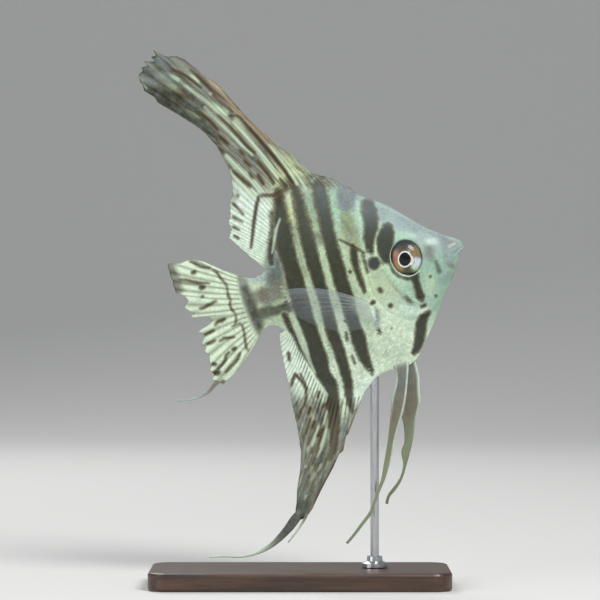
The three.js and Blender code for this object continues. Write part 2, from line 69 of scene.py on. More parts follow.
BACK = (
    (0, 0.4), (0.3, 1.4), (1.5, 2.75), (3, 3.75), (5, 5.05), (7.5, 6.9), (10, 9), (12.5, 11.6),
    (15, 14.3), (17.5, 17), (20, 19.3), (22.5, 21.2), (25, 22.9), (27.3, 24.9), (30, 26.6), (35, 28.2),
    (40, 28.8), (45, 28.4), (48, 27.4), (50, 25.8), (52, 23), (54, 19.6), (56, 15.2), (58, 11.3),
    (59, 10), (60.5, 8.8), (62.5, 8.3), (65, 8.9), (66.5, 9.8),
)
BELLY = (
    (0, -0.2), (0.5, -0.9), (1.7, -1.8), (2.6, -3.2), (3.5, -4.9), (5, -7), (7.2, -10), (10, -13.1),
    (12, -15.7), (15.2, -20), (20, -25.4), (23, -28.8), (26, -29.9), (30, -29.7), (33.5, -30), (36, -31),
    (38, -32.2), (40, -33.5), (41, -34.2), (44, -34), (47, -33), (50, -31.4), (52, -29.2), (53.3, -26.5),
    (54.2, -23), (55, -19), (56, -14.5), (57.5, -11), (59, -9), (60.5, -7.6), (62, -6.9), (63.5, -7),
    (65, -8), (66.5, -9.2),
)
HALF_WIDTH = (
    (0, 0.35), (0.4, 1.15), (1.5, 2), (3, 2.7), (6, 3.5), (10, 4.2), (15, 4.8), (20, 5.2), (26, 5.6),
    (32, 5.7), (40, 5.2), (48, 4.2), (54, 3.2), (60, 2.4), (64, 2), (66.5, 1.7),
)
COAT_DEPTH = 0.1  # from the solid model's surface in to the skin, the room that the scales take

# Rays of the three fins on the body's edge: root s (or place from the top to the bottom of the tail
# root), tip s, tip h, slope of the root in degrees

DORSAL_RAYS = (
    (27.3, 27.9, 26.3, 60), (30, 32.4, 30.6, 62), (34, 38, 34, 64), (37.5, 42.6, 41.5, 69),
    (39.2, 46.9, 47.2, 70), (40.4, 52, 55.3, 71), (41.6, 58.7, 69.5, 72), (41.8, 59.5, 69.2, 72),
    (42.1, 62, 72.9, 72), (42.8, 66, 78.4, 71), (43.8, 70, 79.4, 70), (44.52, 73.4, 82.5, 69),
    (44.94, 73, 80.6, 69), (45.16, 74.5, 80.6, 68), (45.37, 73.8, 79, 68), (45.78, 77.1, 80.2, 67),
    (45.99, 76.2, 78.4, 67), (46.2, 78.3, 78.6, 66), (46.4, 78.2, 77.6, 66), (46.81, 79.7, 76.8, 66),
    (47.21, 80, 74.8, 65), (47.6, 79.3, 73.4, 65), (48.1, 79.7, 71.9, 66), (48.6, 77.2, 69.6, 68),
    (49.1, 76.4, 67, 70), (50, 70.4, 61.2, 71), (50.7, 65.8, 55.4, 70), (51.3, 63, 49.4, 67),
    (52, 61.4, 42, 63), (52.6, 61.6, 38, 60), (53.2, 62.3, 34.8, 58), (53.8, 63.9, 32.2, 55),
    (54.4, 64.4, 30, 52), (55, 65.1, 27.6, 49), (55.5, 66, 26.6, 47), (56.1, 65.6, 24.4, 45),
    (56.8, 67.1, 22, 42), (57.5, 65.2, 19, 40), (58.3, 62.3, 14.4, 40), (59, 60.2, 11.6, 42),
)
ANAL_RAYS = (
    (41, 41.6, -35, -60), (42.5, 45.6, -40, -62), (44, 49, -44.6, -64), (44.6, 49.8, -45, -65),
    (45.8, 52, -49.4, -66), (46.3, 53.4, -49.6, -66), (47, 56, -53, -65), (47.7, 61, -58, -64),
    (48.3, 65.5, -63.2, -63), (48.8, 68.6, -65.6, -62), (49.2, 71.2, -65.4, -61), (49.7, 70.9, -62.8, -60),
    (50.2, 69.6, -60, -59), (50.7, 68.8, -57.4, -58), (51, 68.2, -55.9, -58), (51.6, 66, -51.2, -57),
    (52.3, 64.3, -46.4, -55), (53.2, 63.4, -40.5, -53), (53.8, 63, -36, -54), (54.5, 62.8, -31.5, -57),
    (55.2, 62.2, -26, -59), (56, 61.9, -21.5, -61), (57, 61.5, -16, -64), (58, 61, -12, -68),
    (59, 60.4, -9.4, -70),
)
CAUDAL_RAYS = (
    (0, 67.6, 10.4, 36), (0.03, 72.5, 13.9, 36), (0.06, 76.3, 17.1, 35), (0.09, 79.8, 19.2, 33),
    (0.125, 83.4, 18.6, 30), (0.16, 86.9, 19.8, 28), (0.2, 87.3, 17.4, 25), (0.27, 87.1, 14, 20),
    (0.335, 87.2, 11.2, 15), (0.375, 86.4, 9.7, 13), (0.4, 84.7, 9, 12), (0.425, 84.1, 7.2, 10),
    (0.445, 86, 6.3, 9), (0.465, 85.6, 5.2, 8), (0.485, 84.4, 3.9, 6), (0.5, 83.6, 3.1, 5),
    (0.515, 85.2, 2.6, 4), (0.53, 83.8, 1.8, 3), (0.545, 80.4, 1.6, 2), (0.56, 78.8, -0.4, 0),
    (0.58, 80.6, -1.7, -2), (0.6, 84.2, -2.6, -3), (0.62, 82.6, -3.9, -4), (0.64, 82.6, -4.9, -5),
    (0.66, 84, -6.4, -7), (0.675, 84.1, -7, -8), (0.69, 82.6, -7.4, -9), (0.71, 83.7, -9, -11),
    (0.74, 82.8, -10.4, -14), (0.78, 83.1, -13, -17), (0.82, 83.6, -14.8, -21), (0.855, 82.9, -16.4, -25),
    (0.885, 83.8, -17.7, -28), (0.915, 82.6, -18.9, -31), (0.94, 80.8, -19.8, -34),
    (0.965, 76.5, -17.9, -37), (0.985, 71.6, -13.8, -39), (1, 67.4, -10, -40),
)

# Paired fins and threads

PECTORAL_RAYS = (
    (0, 54.8, 2.2, 41), (0.15, 56, 0, 32), (0.3, 55.8, -2.8, 22), (0.5, 53.5, -7, 9),
    (0.7, 48.5, -11.5, -5), (0.85, 42.5, -14.6, -17), (1, 36.8, -15.4, -28),
)
PECTORAL_ROOT = {"s": 31.6, "top": -8.9, "bottom": -13.1, "sunk": 0.9, "splay": 0.4, "rays": 12}
PELVIC_RIGHT = {
    "front": (
        (25.2, -26.4), (25.8, -29.6), (28, -35.6), (30.1, -40.5), (32, -43.7), (34.2, -46.8),
        (36.1, -49.9), (38.3, -54.2), (40.2, -57.5), (42.4, -60.8), (44.9, -63.8), (46.8, -66.4),
        (48.9, -69.2), (52.5, -71.9), (55.4, -74), (58.2, -75.8),
    ),
    "rear": (
        (29.7, -26.4), (30.2, -29.4), (30.7, -32.9), (33.6, -38.1), (34.7, -41.1), (36.9, -46.6),
        (37.8, -48.7), (39.6, -52.6), (41.5, -56.4), (43.4, -60.2), (45.5, -63), (47.4, -65.8),
        (49.6, -68.5), (53, -71.1), (55.9, -73.3), (58.7, -75.2),
    ),
}
PELVIC_LEFT = {
    "front": (
        (23.2, -26.2), (23.4, -30), (23.6, -34), (24.5, -37.8), (25.2, -41.1), (26.3, -42.7),
        (27.7, -44.9), (29, -47.7), (31.2, -52.6), (34.2, -57.8), (37.2, -62.4), (40, -65), (42.1, -66.5),
        (43.3, -68.5),
    ),
    "rear": (
        (28.2, -26.4), (28.7, -30), (29.6, -34), (31, -39), (32, -43.7), (32.3, -47.1), (33.4, -51.5),
        (35.1, -54.2), (35.6, -57.9), (36.9, -60.6), (38.6, -62.6), (40.6, -64.1), (42.7, -65.8),
        (44.1, -68),
    ),
}
PELVIC_SPREAD = {"root": 0.5, "tip": 5.6}
PELVIC_RAY_COUNT = 6
PECTORAL_GRID = (61, 40)  # columns and rows
PECTORAL_HALF = {"membrane": 0.06, "ray": 0.07, "root": 0.28}  # half thickness
PELVIC_HALF = {"membrane": 0.11, "ray": 0.025, "front_ray": 0.16}
PELVIC_GRID = (141, 25)  # points down and across
THREAD_GRID = (12, 13)  # points along for each key of its path, and points round
EYE_GRID = (97, 49)  # points round and out
RIM_GRID = (129, 17)  # points along the oval and round the tube

# Threads: (paint at the root, paint at the tip, path of (s, h, y, half thickness, half width))

THREADS = {
    "anal_thread": ("lead", "cream", (
        (68.6, -62.6, 0.5, 0.04, 0.9), (71.5, -64.8, 0.6, 0.08, 1.4), (75, -67.4, 0.7, 0.18, 1.2),
        (80, -70.1, 0.8, 0.26, 0.8), (85, -71.3, 0.9, 0.28, 0.5), (90, -71, 0.9, 0.26, 0.4),
        (95, -69.5, 0.8, 0.24, 0.32), (99.6, -68.4, 0.7, 0.2, 0.22),
    )),
    "anal_side_thread": ("umber", "celadon", (
        (66.6, -63, 0.4, 0.04, 0.3), (68.4, -65.2, 0.5, 0.12, 0.4), (71.5, -68, 0.4, 0.24, 0.32),
        (75.5, -70.9, 0.2, 0.22, 0.26),
    )),
    "caudal_thread": ("umber", "mist", (
        (81, -18, 0.5, 0.04, 0.8), (83.5, -19.3, 0.6, 0.1, 0.6), (86, -20.9, 0.7, 0.18, 0.42),
        (89.5, -21.6, 0.8, 0.22, 0.34), (93, -21.3, 0.9, 0.22, 0.28), (96.5, -20.5, 0.9, 0.2, 0.22),
    )),
}

# The crease that the dorsal fin's top folds at: a point on it, and its direction

CREASE = {"s": 65.5, "h": 66, "back": 0.573, "up": 0.819}

# Eye

EYE = {"s": 17.7, "h": 1.4, "along": 4.75, "tall": 5.45, "y": 3.2, "across": 2.4}
PUPIL = {"s": 18.35, "h": 1.1, "along": 1.72, "tall": 2.02, "turn": math.radians(20)}

# The gill cover's free edge is part of an oval round this centre

GILL_OVAL = {"s": 18.5, "h": -2.5, "along": 11.8, "tall": 14.3}


def smoothstep(x, low, high):
    """0 below low, 1 above high, and the smooth cubic 3t^2 - 2t^3 between them."""
    t = np.clip((x - low) / (high - low), 0, 1)
    return t * t * (3 - 2 * t)


def mix(a, b, t):
    """The straight line from a, at t = 0, to b, at t = 1."""
    return a + (b - a) * t


def along(keys, x):
    """A smooth value at x from keys (x, value): a cubic through them with weighted mean slopes."""
    keys = np.array(keys, float)
    at, value = keys[:, 0], keys[:, 1]
    step = np.diff(at)
    rise = np.diff(value) / step
    slope = np.empty(len(at))
    slope[0], slope[-1] = rise[0], rise[-1]
    slope[1:-1] = (rise[:-1] * step[1:] + rise[1:] * step[:-1]) / (step[:-1] + step[1:])
    x = np.clip(x, at[0], at[-1])
    i = np.clip(np.searchsorted(at, x, side="right") - 1, 0, len(at) - 2)
    t = (x - at[i]) / step[i]
    near = value[i] * (2 * t**3 - 3 * t**2 + 1) + value[i + 1] * (3 * t**2 - 2 * t**3)
    return near + (slope[i] * (t**3 - 2 * t**2 + t) + slope[i + 1] * (t**3 - t**2)) * step[i]


def straight(keys, x, column):
    """The value in that column at x, on straight lines between keys (x, ...)."""
    keys = np.array(keys, float)
    return np.interp(x, keys[:, 0], keys[:, column])


def columns_along(path, place):
    """Each column of a path at place, 0 to 1, with its points spaced evenly."""
    keys = np.array(path, float)
    at = np.linspace(0, 1, len(keys))
    return [along(np.stack([at, column], 1), place) for column in keys.T]


def hump(distance, reach):
    """A bell of height 1, falling to 1/e at reach."""
    return np.exp(-((distance / reach) ** 2))


def to_world(s, h, y):
    """Points in metres in the model's frame, from the fish's frame: a turn by NOSE_UP and a move."""
    x = SNOUT_X - s * math.cos(NOSE_UP) - h * math.sin(NOSE_UP)
    z = SNOUT_Z - s * math.sin(NOSE_UP) + h * math.cos(NOSE_UP)
    return np.stack([x, y + 0 * x, z], -1) * MM


def inside(s, h, strokes):
    """How deep (s, h) lies inside the nearest stroke, in mm, and less than 0 outside. A stroke is a path
    of (s, h, half width), whose width runs evenly from one point to the next."""
    deepest = np.full(np.shape(s), -99.0)
    for stroke in strokes:
        ends = stroke if len(stroke) > 1 else stroke * 2
        for (s0, h0, r0), (s1, h1, r1) in zip(ends, ends[1:]):
            length = max((s1 - s0) ** 2 + (h1 - h0) ** 2, 1e-9)
            t = np.clip(((s - s0) * (s1 - s0) + (h - h0) * (h1 - h0)) / length, 0, 1)
            gap = np.hypot(s - mix(s0, s1, t), h - mix(h0, h1, t))
            deepest = np.maximum(deepest, mix(r0, r1, t) - gap)
    return deepest


# Form of the body


def half_width(s, h, inset=COAT_DEPTH):
    """Half width of the body: a lens from back to belly, fuller at the head, joined by the square root
    of squares with a half circle that rounds the edge. inset brings the surface in all round."""
    top = along(BACK, s) - inset
    bottom = along(BELLY, s) + inset
    middle = np.minimum(np.maximum(-0.5, bottom + 0.3), top - 0.3)
    reach = np.where(h > middle, top - middle, middle - bottom)
    edge = np.clip(np.abs(h - middle) / np.maximum(reach, 0.05), 0, 1)
    widest = np.maximum(along(HALF_WIDTH, s) - inset, 0.1)
    fullness = 0.55 + 0.38 * smoothstep(s, 4, 34)
    lens = widest * (1 - edge**1.8) ** fullness
    least = np.minimum(0.8, 0.4 * widest)
    width = np.hypot(lens, least * np.sqrt(1 - edge**2)) * widest / np.hypot(widest, least)
    return width * np.sqrt(np.clip(s / 0.3, 0, 1)), edge


def lean(s, h):
    """Sideways bend: the dorsal fin's top folds away behind a crease, a softened ramp, and the tail fin
    and the anal fin wave a little."""
    back, up = s - CREASE["s"], h - CREASE["h"]
    ahead = back * CREASE["back"] + up * CREASE["up"]
    behind = back * CREASE["up"] - up * CREASE["back"]
    dorsal = 0.62 * np.log1p(np.exp(behind)) * smoothstep(ahead, -13, 3) * smoothstep(h, 40, 60)
    tail = 0.9 * np.sin((s - TAIL_ROOT) / 8) * smoothstep(s, TAIL_ROOT, 74) * (np.abs(h) < 24)
    anal = 0.6 * smoothstep(-h, 34, 60)
    return dorsal + tail + anal


# Lines of relief on the head, as paths of (s, h, 0)

PREOPERCLE = (
    ((24.6, 1.2, 0), (23.4, -2.6, 0), (22, -6, 0), (20.1, -9.9, 0), (18.6, -12.4, 0), (16.6, -13.4, 0)),
    ((23.4, 2, 0), (22.3, -2, 0), (20.9, -5.6, 0), (19, -9.4, 0), (17.8, -12, 0)),
)
MOUTH = (((-0.4, 0.15, 0), (1.2, -0.25, 0), (2.6, -0.75, 0), (4.1, -1.6, 0)),)
UPPER_LIP = (((0.7, 1.1, 0), (2.4, 1.2, 0), (4.3, 0.5, 0)),)
MAXILLA = (((2.2, 3.0, 0), (4.6, 2.9, 0), (5.9, 1.6, 0), (6.4, -0.6, 0), (5.6, -2.4, 0)),)
NOSTRIL = (((9.2, 5.2, 0), (8.3, 5.5, 0), (7.4, 5.0, 0)),)
LACHRYMAL = (((11.3, 3.4, 0), (10.6, -0.8, 0), (11.8, -4.4, 0), (14.4, -7.2, 0)),)
JAW_FOLD = (((6.2, -3.6, 0), (8, -6.2, 0), (11, -8.8, 0), (14.6, -10.4, 0)),)
GILL_EDGE_SIZE = 13  # mean radius of the gill cover's oval
FIN_SOCKET = {"s": 31.4, "h": -12, "along": 1.5, "tall": 2.7, "out": 0.45}  # pectoral fin's fleshy root

# Bells across those paths: (distance from the path, height, reach)

FEATURES = (
    (PREOPERCLE, ((0, 0.26, 0.42), (0.95, -0.1, 0.4))),
    (UPPER_LIP, ((0, -0.16, 0.22),)),
    (MAXILLA, ((0, -0.14, 0.3),)),
    (NOSTRIL, ((0.55, 0.12, 0.3), (0, -0.4, 0.3))),
    (LACHRYMAL, ((0, -0.16, 0.8),)),
    (JAW_FOLD, ((0, -0.12, 0.6),)),
)


def eye_ring(s, h):
    """1 on the oval of the eye, less inside it and more outside."""
    return np.hypot((s - EYE["s"]) / EYE["along"], (h - EYE["h"]) / EYE["tall"])


def gill_edge(s, h):
    """Millimetres inside the gill cover's free edge, less than 0 behind it."""
    across = (s - GILL_OVAL["s"]) / GILL_OVAL["along"]
    up = (h - GILL_OVAL["h"]) / GILL_OVAL["tall"]
    return (1 - np.hypot(across, up)) * GILL_EDGE_SIZE


def relief(s, h):
    """How far the skin's features stand out, in mm: ridges and furrows are bells across a path, the gill
    cover is a step with a furrow behind it, and the orbit is a bowl with a rim."""
    gill = gill_edge(s, h)
    free = smoothstep(s - 0.35 * h, 13.5, 17.5) * smoothstep(h, 7.5, 4.5)
    plate = smoothstep(gill, -0.18, 0.22) * np.exp(-np.maximum(gill, 0) / 3.2)
    out = free * (0.3 * plate - 0.3 * hump(gill + 0.55, 0.6) * (gill < 0.2))
    ring = eye_ring(s, h)
    out += 0.16 * hump((ring - 1.13) * 5, 0.45) - 2.4 * smoothstep(ring, 1.03, 0.85)
    slit = -inside(s, h, MOUTH)
    mouth = smoothstep(s, 4.6, 3.2) * smoothstep(s, 0.3, 1.2)
    out += mouth * (0.16 * hump(slit - 0.62, 0.42) - 0.3 * hump(slit, 0.22))
    for paths, bells in FEATURES:
        gap = -inside(s, h, paths)
        for away, height, reach in bells:
            out += height * hump(gap - away, reach)
    socket = np.hypot((s - FIN_SOCKET["s"]) / FIN_SOCKET["along"], (h - FIN_SOCKET["h"]) / FIN_SOCKET["tall"])
    return out + FIN_SOCKET["out"] * hump(socket, 1)


def skin_surface(s, h, grown=0.0):
    """Half width of the skin with its relief, which fades out at the body's edge, and with a small boss
    on the belly, a bell across the rod, that takes the rod's end in."""
    width, edge = half_width(s, h)
    from_rod = SNOUT_X - s * math.cos(NOSE_UP) - h * math.sin(NOSE_UP) - ROD_X
    boss = BOSS["out"] * hump(from_rod, BOSS["reach"]) * smoothstep(h, -22, -27) * np.sqrt(1 - edge**50)
    width = np.hypot(width, boss * smoothstep(width, 3, 0.5))
    return width + (relief(s, h) + grown) * smoothstep(edge, 1, 0.82) * smoothstep(s, 0, 0.6)


# Skin: blocks of a grid that share their borders

# Stretches of the mid-line: (from, to, number of columns, power of their spacing)

FEET = ((0, 26, 92, 1.25), (26, 38.5, 44, 1), (38.5, 57, 124, 1), (57, 67.9, 24, 1))

# Where the column that stands on the mid-line at the first number meets the edge, as s

FOOT_TO_BACK = (
    (0, 0), (15, 15), (26, 27.3), (36, 40), (43.5, 50), (48, 54), (51, 56), (55, 58), (56, 59), (59, 60.8),
    (62, 62.5), (67.9, 66.5),
)
FOOT_TO_BELLY = (
    (0, 0), (15, 15), (23.5, 23), (30, 30.5), (38.5, 41), (43, 49), (46, 52.5), (48, 53.8), (50.5, 55),
    (53, 56), (56, 57.8), (58, 59), (61, 61.6), (64, 64), (67.9, 66.5),
)
HALF_ROWS = 49
EDGE_ROWS = 8  # rows over which the body's edge swells into a fin's root
FIN_ROWS = {"dorsal": 56, "anal": 46, "caudal": 42}
COLUMNS_PER_RAY = 4
CAUDAL_RAY_COUNT = 17
FIN_ROOT = 0.5  # half thickness of a fin where it leaves the body
FIN_FAIRING = 2.6  # how far out the root thins down to the membrane
FIN_MEMBRANE = 0.13  # half thickness of the membrane near the root
FIN_MARGIN = 0.07  # and at the margin


def feet():
    """Places on the mid-line where the grid's columns stand, closer together where fine detail is."""
    parts = [low + (high - low) * np.linspace(0, 1, n, endpoint=False) ** p for low, high, n, p in FEET]
    return np.append(np.concatenate(parts), FEET[-1][1])


def closing(place, low, high, over):
    """Falls from 1 to 0 as a quarter circle within over of either end, so that a fin's border closes."""
    inner = np.minimum(place - low, high - place) / over
    return np.sqrt(np.clip(inner, 0, 1))


def body_block():
    """The body's grid. A column stands on the mid-line, and runs straight up to the back and down to
    the belly, with rows closer together at the edge, where the surface turns."""
    foot = feet()
    share = np.linspace(0, 1, HALF_ROWS + 1)
    rise = (0.62 * share + 0.38 * np.sin(share * np.pi / 2))[:, None]
    back, belly = along(FOOT_TO_BACK, foot), along(FOOT_TO_BELLY, foot)
    top, bottom = along(BACK, back) - COAT_DEPTH, along(BELLY, belly) + COAT_DEPTH
    middle = np.clip(mix(-0.4, 0.4, smoothstep(foot, 50, 62)), mix(bottom, top, 0.3), mix(bottom, top, 0.7))
    upper = mix(foot, back, rise), mix(middle, top, rise)
    lower = mix(foot, belly, rise[:0:-1]), mix(middle, bottom, rise[:0:-1])
    s, h = (np.concatenate([low, up]) for low, up in zip(lower, upper))
    half = skin_surface(s, h)
    row = np.arange(len(s))[:, None]
    for end, edge, keys in ((len(s) - 1, back, DORSAL_RAYS), (0, belly, ANAL_RAYS)):
        root = FIN_ROOT * closing(edge, keys[0][0], keys[-1][0], 4)
        half[end] = 0
        half = np.hypot(half, root * smoothstep(np.abs(row - end), EDGE_ROWS, 0))
    half[:, 0] = 0
    return {"s": s, "h": h, "half": half, "ray": 0 * s, "fin": 0 * s}


def ray_ends(keys, place):
    """The rays' tips (s, h), on straight lines between keys, and the slopes of their roots."""
    tip = [straight(keys, place, 1), straight(keys, place, 2)]
    return tip, np.radians(along([(key[0], key[3]) for key in keys], place))


def ridges(ray, count=1):
    """A cosine that is 1 on each ray and 0 midway between two, with count crests to each ray."""
    return 0.5 + 0.5 * np.cos(2 * np.pi * count * ray)


def ray_curves(root, tip, slope, rows, reach=0.45):
    """Rays as quadratic curves that leave their roots along the slope, one ray in each column."""
    v = np.linspace(0, 1, rows + 1)[:, None]
    length = np.hypot(tip[0] - root[0], tip[1] - root[1]) * reach
    bend = root[0] + length * np.cos(slope), root[1] + length * np.sin(slope)
    return [(1 - v) ** 2 * r + 2 * v * (1 - v) * b + v**2 * t for r, b, t in zip(root, bend, tip)]


def fin_block(root, keys, key, ray, rows, root_half, envelope, notch):
    """A fin's grid, from its root out to its margin. The membrane thins towards the margin, a ray stands
    up from it at each whole number of ray, and the margin is notched between rays by that many mm."""
    tip, slope = ray_ends(keys, key)
    notch = notch * (1 - ridges(ray)) / np.maximum(np.hypot(tip[0] - root[0], tip[1] - root[1]), 1)
    tip = [t - (t - r) * notch for t, r in zip(tip, root)]
    s, h = ray_curves(root, tip, slope, rows)
    v = np.linspace(0, 1, rows + 1)[:, None] + 0 * s
    ridge = mix(ridges(ray), ridges(ray, 2), 0.7 * smoothstep(v, 0.35, 0.6))
    half = mix(FIN_MEMBRANE, FIN_MARGIN, v) + mix(0.1, 0.05, v) * ridge
    length = np.hypot(tip[0] - root[0], tip[1] - root[1])
    near = np.exp(-((v * length / np.minimum(FIN_FAIRING, 0.35 * length)) ** 1.4))
    half = mix(half * envelope, root_half, near)
    half *= np.sqrt(np.clip((1 - v) * rows / 2.5, 0, 1)) * np.where(envelope > 0, 1, 0)
    return {"s": s, "h": h, "half": half, "ray": ray + 0 * s, "fin": v}


def skin_blocks():
    """The body's block and those of the dorsal, anal and tail fins, each grown from the body's border."""
    body = body_block()
    foot = feet()
    blocks = [body]
    number = np.arange(len(foot)) / COLUMNS_PER_RAY
    for name, row, keys, to_edge in (
        ("dorsal", -1, DORSAL_RAYS, FOOT_TO_BACK), ("anal", 0, ANAL_RAYS, FOOT_TO_BELLY),
    ):
        edge = along(to_edge, foot)
        held = (edge >= keys[0][0] - 1e-6) & (edge <= keys[-1][0] + 1e-6)
        root = [body["s"][row, held], body["h"][row, held]]
        ray = number[held] - number[held][0]
        envelope = closing(edge[held], edge[held][0], edge[held][-1], 0.5)
        body["half"][row, held] *= envelope > 0
        notch = np.where(root[0] < 41, 0.5, 0.25)
        blocks.append(fin_block(
            root, keys, edge[held], ray, FIN_ROWS[name], body["half"][row, held], envelope, notch
        ))
        blocks[-1]["turned"] = row == 0
    root = [body["s"][::-1, -1], body["h"][::-1, -1]]
    place = np.linspace(0, 1, len(root[0]))
    envelope = closing(place, 0, 1, 0.04)
    blocks.append(fin_block(
        root, CAUDAL_RAYS, place, place * CAUDAL_RAY_COUNT, FIN_ROWS["caudal"], body["half"][::-1, -1],
        envelope, 0.3
    ))
    return blocks


# Mesh making


def grid_faces(rows, columns, start=0):
    """Quads of a grid whose points are numbered row by row from start."""
    number = start + np.arange(rows * columns).reshape(rows, columns)
    return np.stack([number[:-1, :-1], number[:-1, 1:], number[1:, 1:], number[1:, :-1]], -1).reshape(-1, 4)


def welded(points, faces, values):
    """Points at the same place made one, with faces that lost a corner made triangles and faces that
    lost two dropped. values are the arrays that go with the points."""
    _, first, number = np.unique(np.round(points, 9), axis=0, return_index=True, return_inverse=True)
    faces = number.reshape(-1)[faces]
    corners = (faces != np.roll(faces, -1, 1)).sum(1)
    short = faces[corners == 3]
    triangles = short[short != np.roll(short, -1, 1)].reshape(-1, 3)
    polygons = faces[corners == 4].tolist() + triangles.tolist()
    return points[first], polygons, {name: v[first] for name, v in values.items()}


def two_sided(blocks):
    """Closed shell round sheets: each block's points are set apart by its half thickness, to the right
    and to the left, and meet wherever that is 0."""
    points, faces, values, start = [], [], [], 0
    for side in (-1, 1):
        for block in blocks:
            s, h = block["s"], block["h"]
            middle = block.get("y", lean(s, h))
            points.append(to_world(s, h, middle + side * block["half"]).reshape(-1, 3))
            quads = grid_faces(*s.shape, start)
            faces.append(quads if (side < 0) != block.get("turned", False) else quads[:, ::-1])
            values.append({k: v.reshape(-1) for k, v in block.items() if k not in ("half", "y", "turned")})
            start += s.size
    names = values[0].keys()
    joined = {name: np.concatenate([v[name] for v in values]) for name in names}
    return welded(np.concatenate(points), np.concatenate(faces), joined)


def volume(points, polygons):
    """Six times the signed volume, summed over a fan of triangles in each polygon."""
    total = 0.0
    for size in {len(p) for p in polygons}:
        corners = points[np.array([p for p in polygons if len(p) == size])]
        for k in range(1, size - 1):
            cross = np.cross(corners[:, k], corners[:, k + 1])
            total += float((corners[:, 0] * cross).sum())
    return total


def add_piece(name, points, polygons, numbers, colours, material, replaced=()):
    """A smooth mesh object at the origin with its attributes, riding on the root body."""
    if volume(points, polygons) < 0:
        polygons = [p[::-1] for p in polygons]
    mesh = bpy.data.meshes.new(name)
    mesh.from_pydata(points.tolist(), [], polygons)
    mesh.validate()
    for key, value in numbers.items():
        attribute = mesh.attributes.new(key, "FLOAT", "POINT")
        attribute.data.foreach_set("value", value.astype(np.float32).ravel())
    for key, value in colours.items():
        attribute = mesh.attributes.new(key, "FLOAT_COLOR", "POINT")
        solid = np.concatenate([value, np.ones((len(value), 1))], 1)
        attribute.data.foreach_set("color", solid.astype(np.float32).ravel())
    mesh.shade_smooth()
    mesh.materials.append(material)
    piece = bpy.data.objects.new(name, mesh)
    bpy.context.scene.collection.objects.link(piece)
    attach(piece, "root")
    if replaced:
        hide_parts(*replaced)
    return piece


# Paints


def paint(red, green, blue):
    """A display colour, 0 to 255, as the linear colour that shaders take."""
    part = np.array([red, green, blue]) / 255
    return tuple(float(x) for x in np.where(part <= 0.04045, part / 12.92, ((part + 0.055) / 1.055) ** 2.4))


PAINTS = {
    "cream": ("Belly and fins", (205, 223, 197)),
    "white": ("Fins' palest parts", (210, 228, 213)),
    "mint": ("Cheek and bright streaks", (166, 200, 174)),
    "cheek": ("Cheek", (142, 172, 153)),
    "celadon": ("Flank between the bars", (182, 200, 164)),
    "lime": ("Yellow-green streaks", (196, 206, 158)),
    "moss": ("Yellow-green behind the head", (136, 150, 112)),
    "mist": ("Forehead", (150, 169, 167)),
    "slate": ("Blue-grey of the pectoral's shade and the tail root", (118, 126, 128)),
    "veil": ("Clear pectoral fins", (148, 160, 168)),
    "smoke": ("Grey membrane of the fins' tips", (122, 124, 112)),
    # olive is also painted shade on the dorsal fin's top behind the fold, where the membrane turns away from
    # the light
    "olive": ("Dark membrane below the fold", (62, 61, 47)),
    "umber": ("Brown of the tail stalk", (112, 106, 90)),
    "tan": ("Leading edge of the dorsal fin", (150, 128, 104)),
    "rust": ("Lower edge of the jaw and throat", (136, 98, 58)),
    "glint": ("Bright streaks on the fins", (188, 207, 180)),
    "bark": ("Dashes on the fins", (66, 60, 42)),
    "ink": ("Bars", (38, 35, 24)),
    "lead": ("Bars where the scales shine", (62, 66, 62)),
    "night": ("Spot behind the gill and mouth marks", (44, 48, 58)),
}

# Ground colour: (paint, s, h, reach), mixed by bells of that reach

GROUND = (
    ("mist", 20, 18, 5), ("mist", 12, 9, 4), ("mist", 5, 3, 3), ("mist", 26, 22, 3), ("cheek", 9, -6, 5),
    ("cheek", 14, 0, 4), ("cheek", 18, -10, 4), ("mint", 22, 5, 4), ("mint", 30, 15, 4),
    ("mint", 34, 22, 3), ("mint", 41, 24, 2.5), ("celadon", 31, 12, 3), ("celadon", 41, 14, 5),
    ("celadon", 48, 10, 5), ("celadon", 41, 2, 5), ("celadon", 31, -2, 5), ("celadon", 26, -4, 4),
    ("cream", 28, -14, 5), ("cream", 25, -22, 5), ("cream", 34, -18, 6), ("cream", 42, -22, 6),
    ("cream", 48, -20, 5), ("cream", 34, -27, 4), ("white", 40, -31, 3), ("cheek", 20, -15, 3),
    ("white", 57, -20, 4), ("white", 60, 24, 5), ("cream", 76, 0, 9), ("cream", 76, 12, 6),
    ("cream", 76, -12, 6), ("celadon", 62, 0, 4), ("lime", 47, 24, 3), ("lime", 44, 36, 3.5),
    ("smoke", 50, 40, 4), ("smoke", 56, 52, 5), ("smoke", 62, 64, 5), ("smoke", 72, 76, 7),
    ("smoke", 60, -46, 6), ("smoke", 66, -58, 6), ("smoke", 54, -44, 5), ("smoke", 36, 31, 3),
)

# Soft patches laid over the ground in this order: (paint, strength, softness, path)

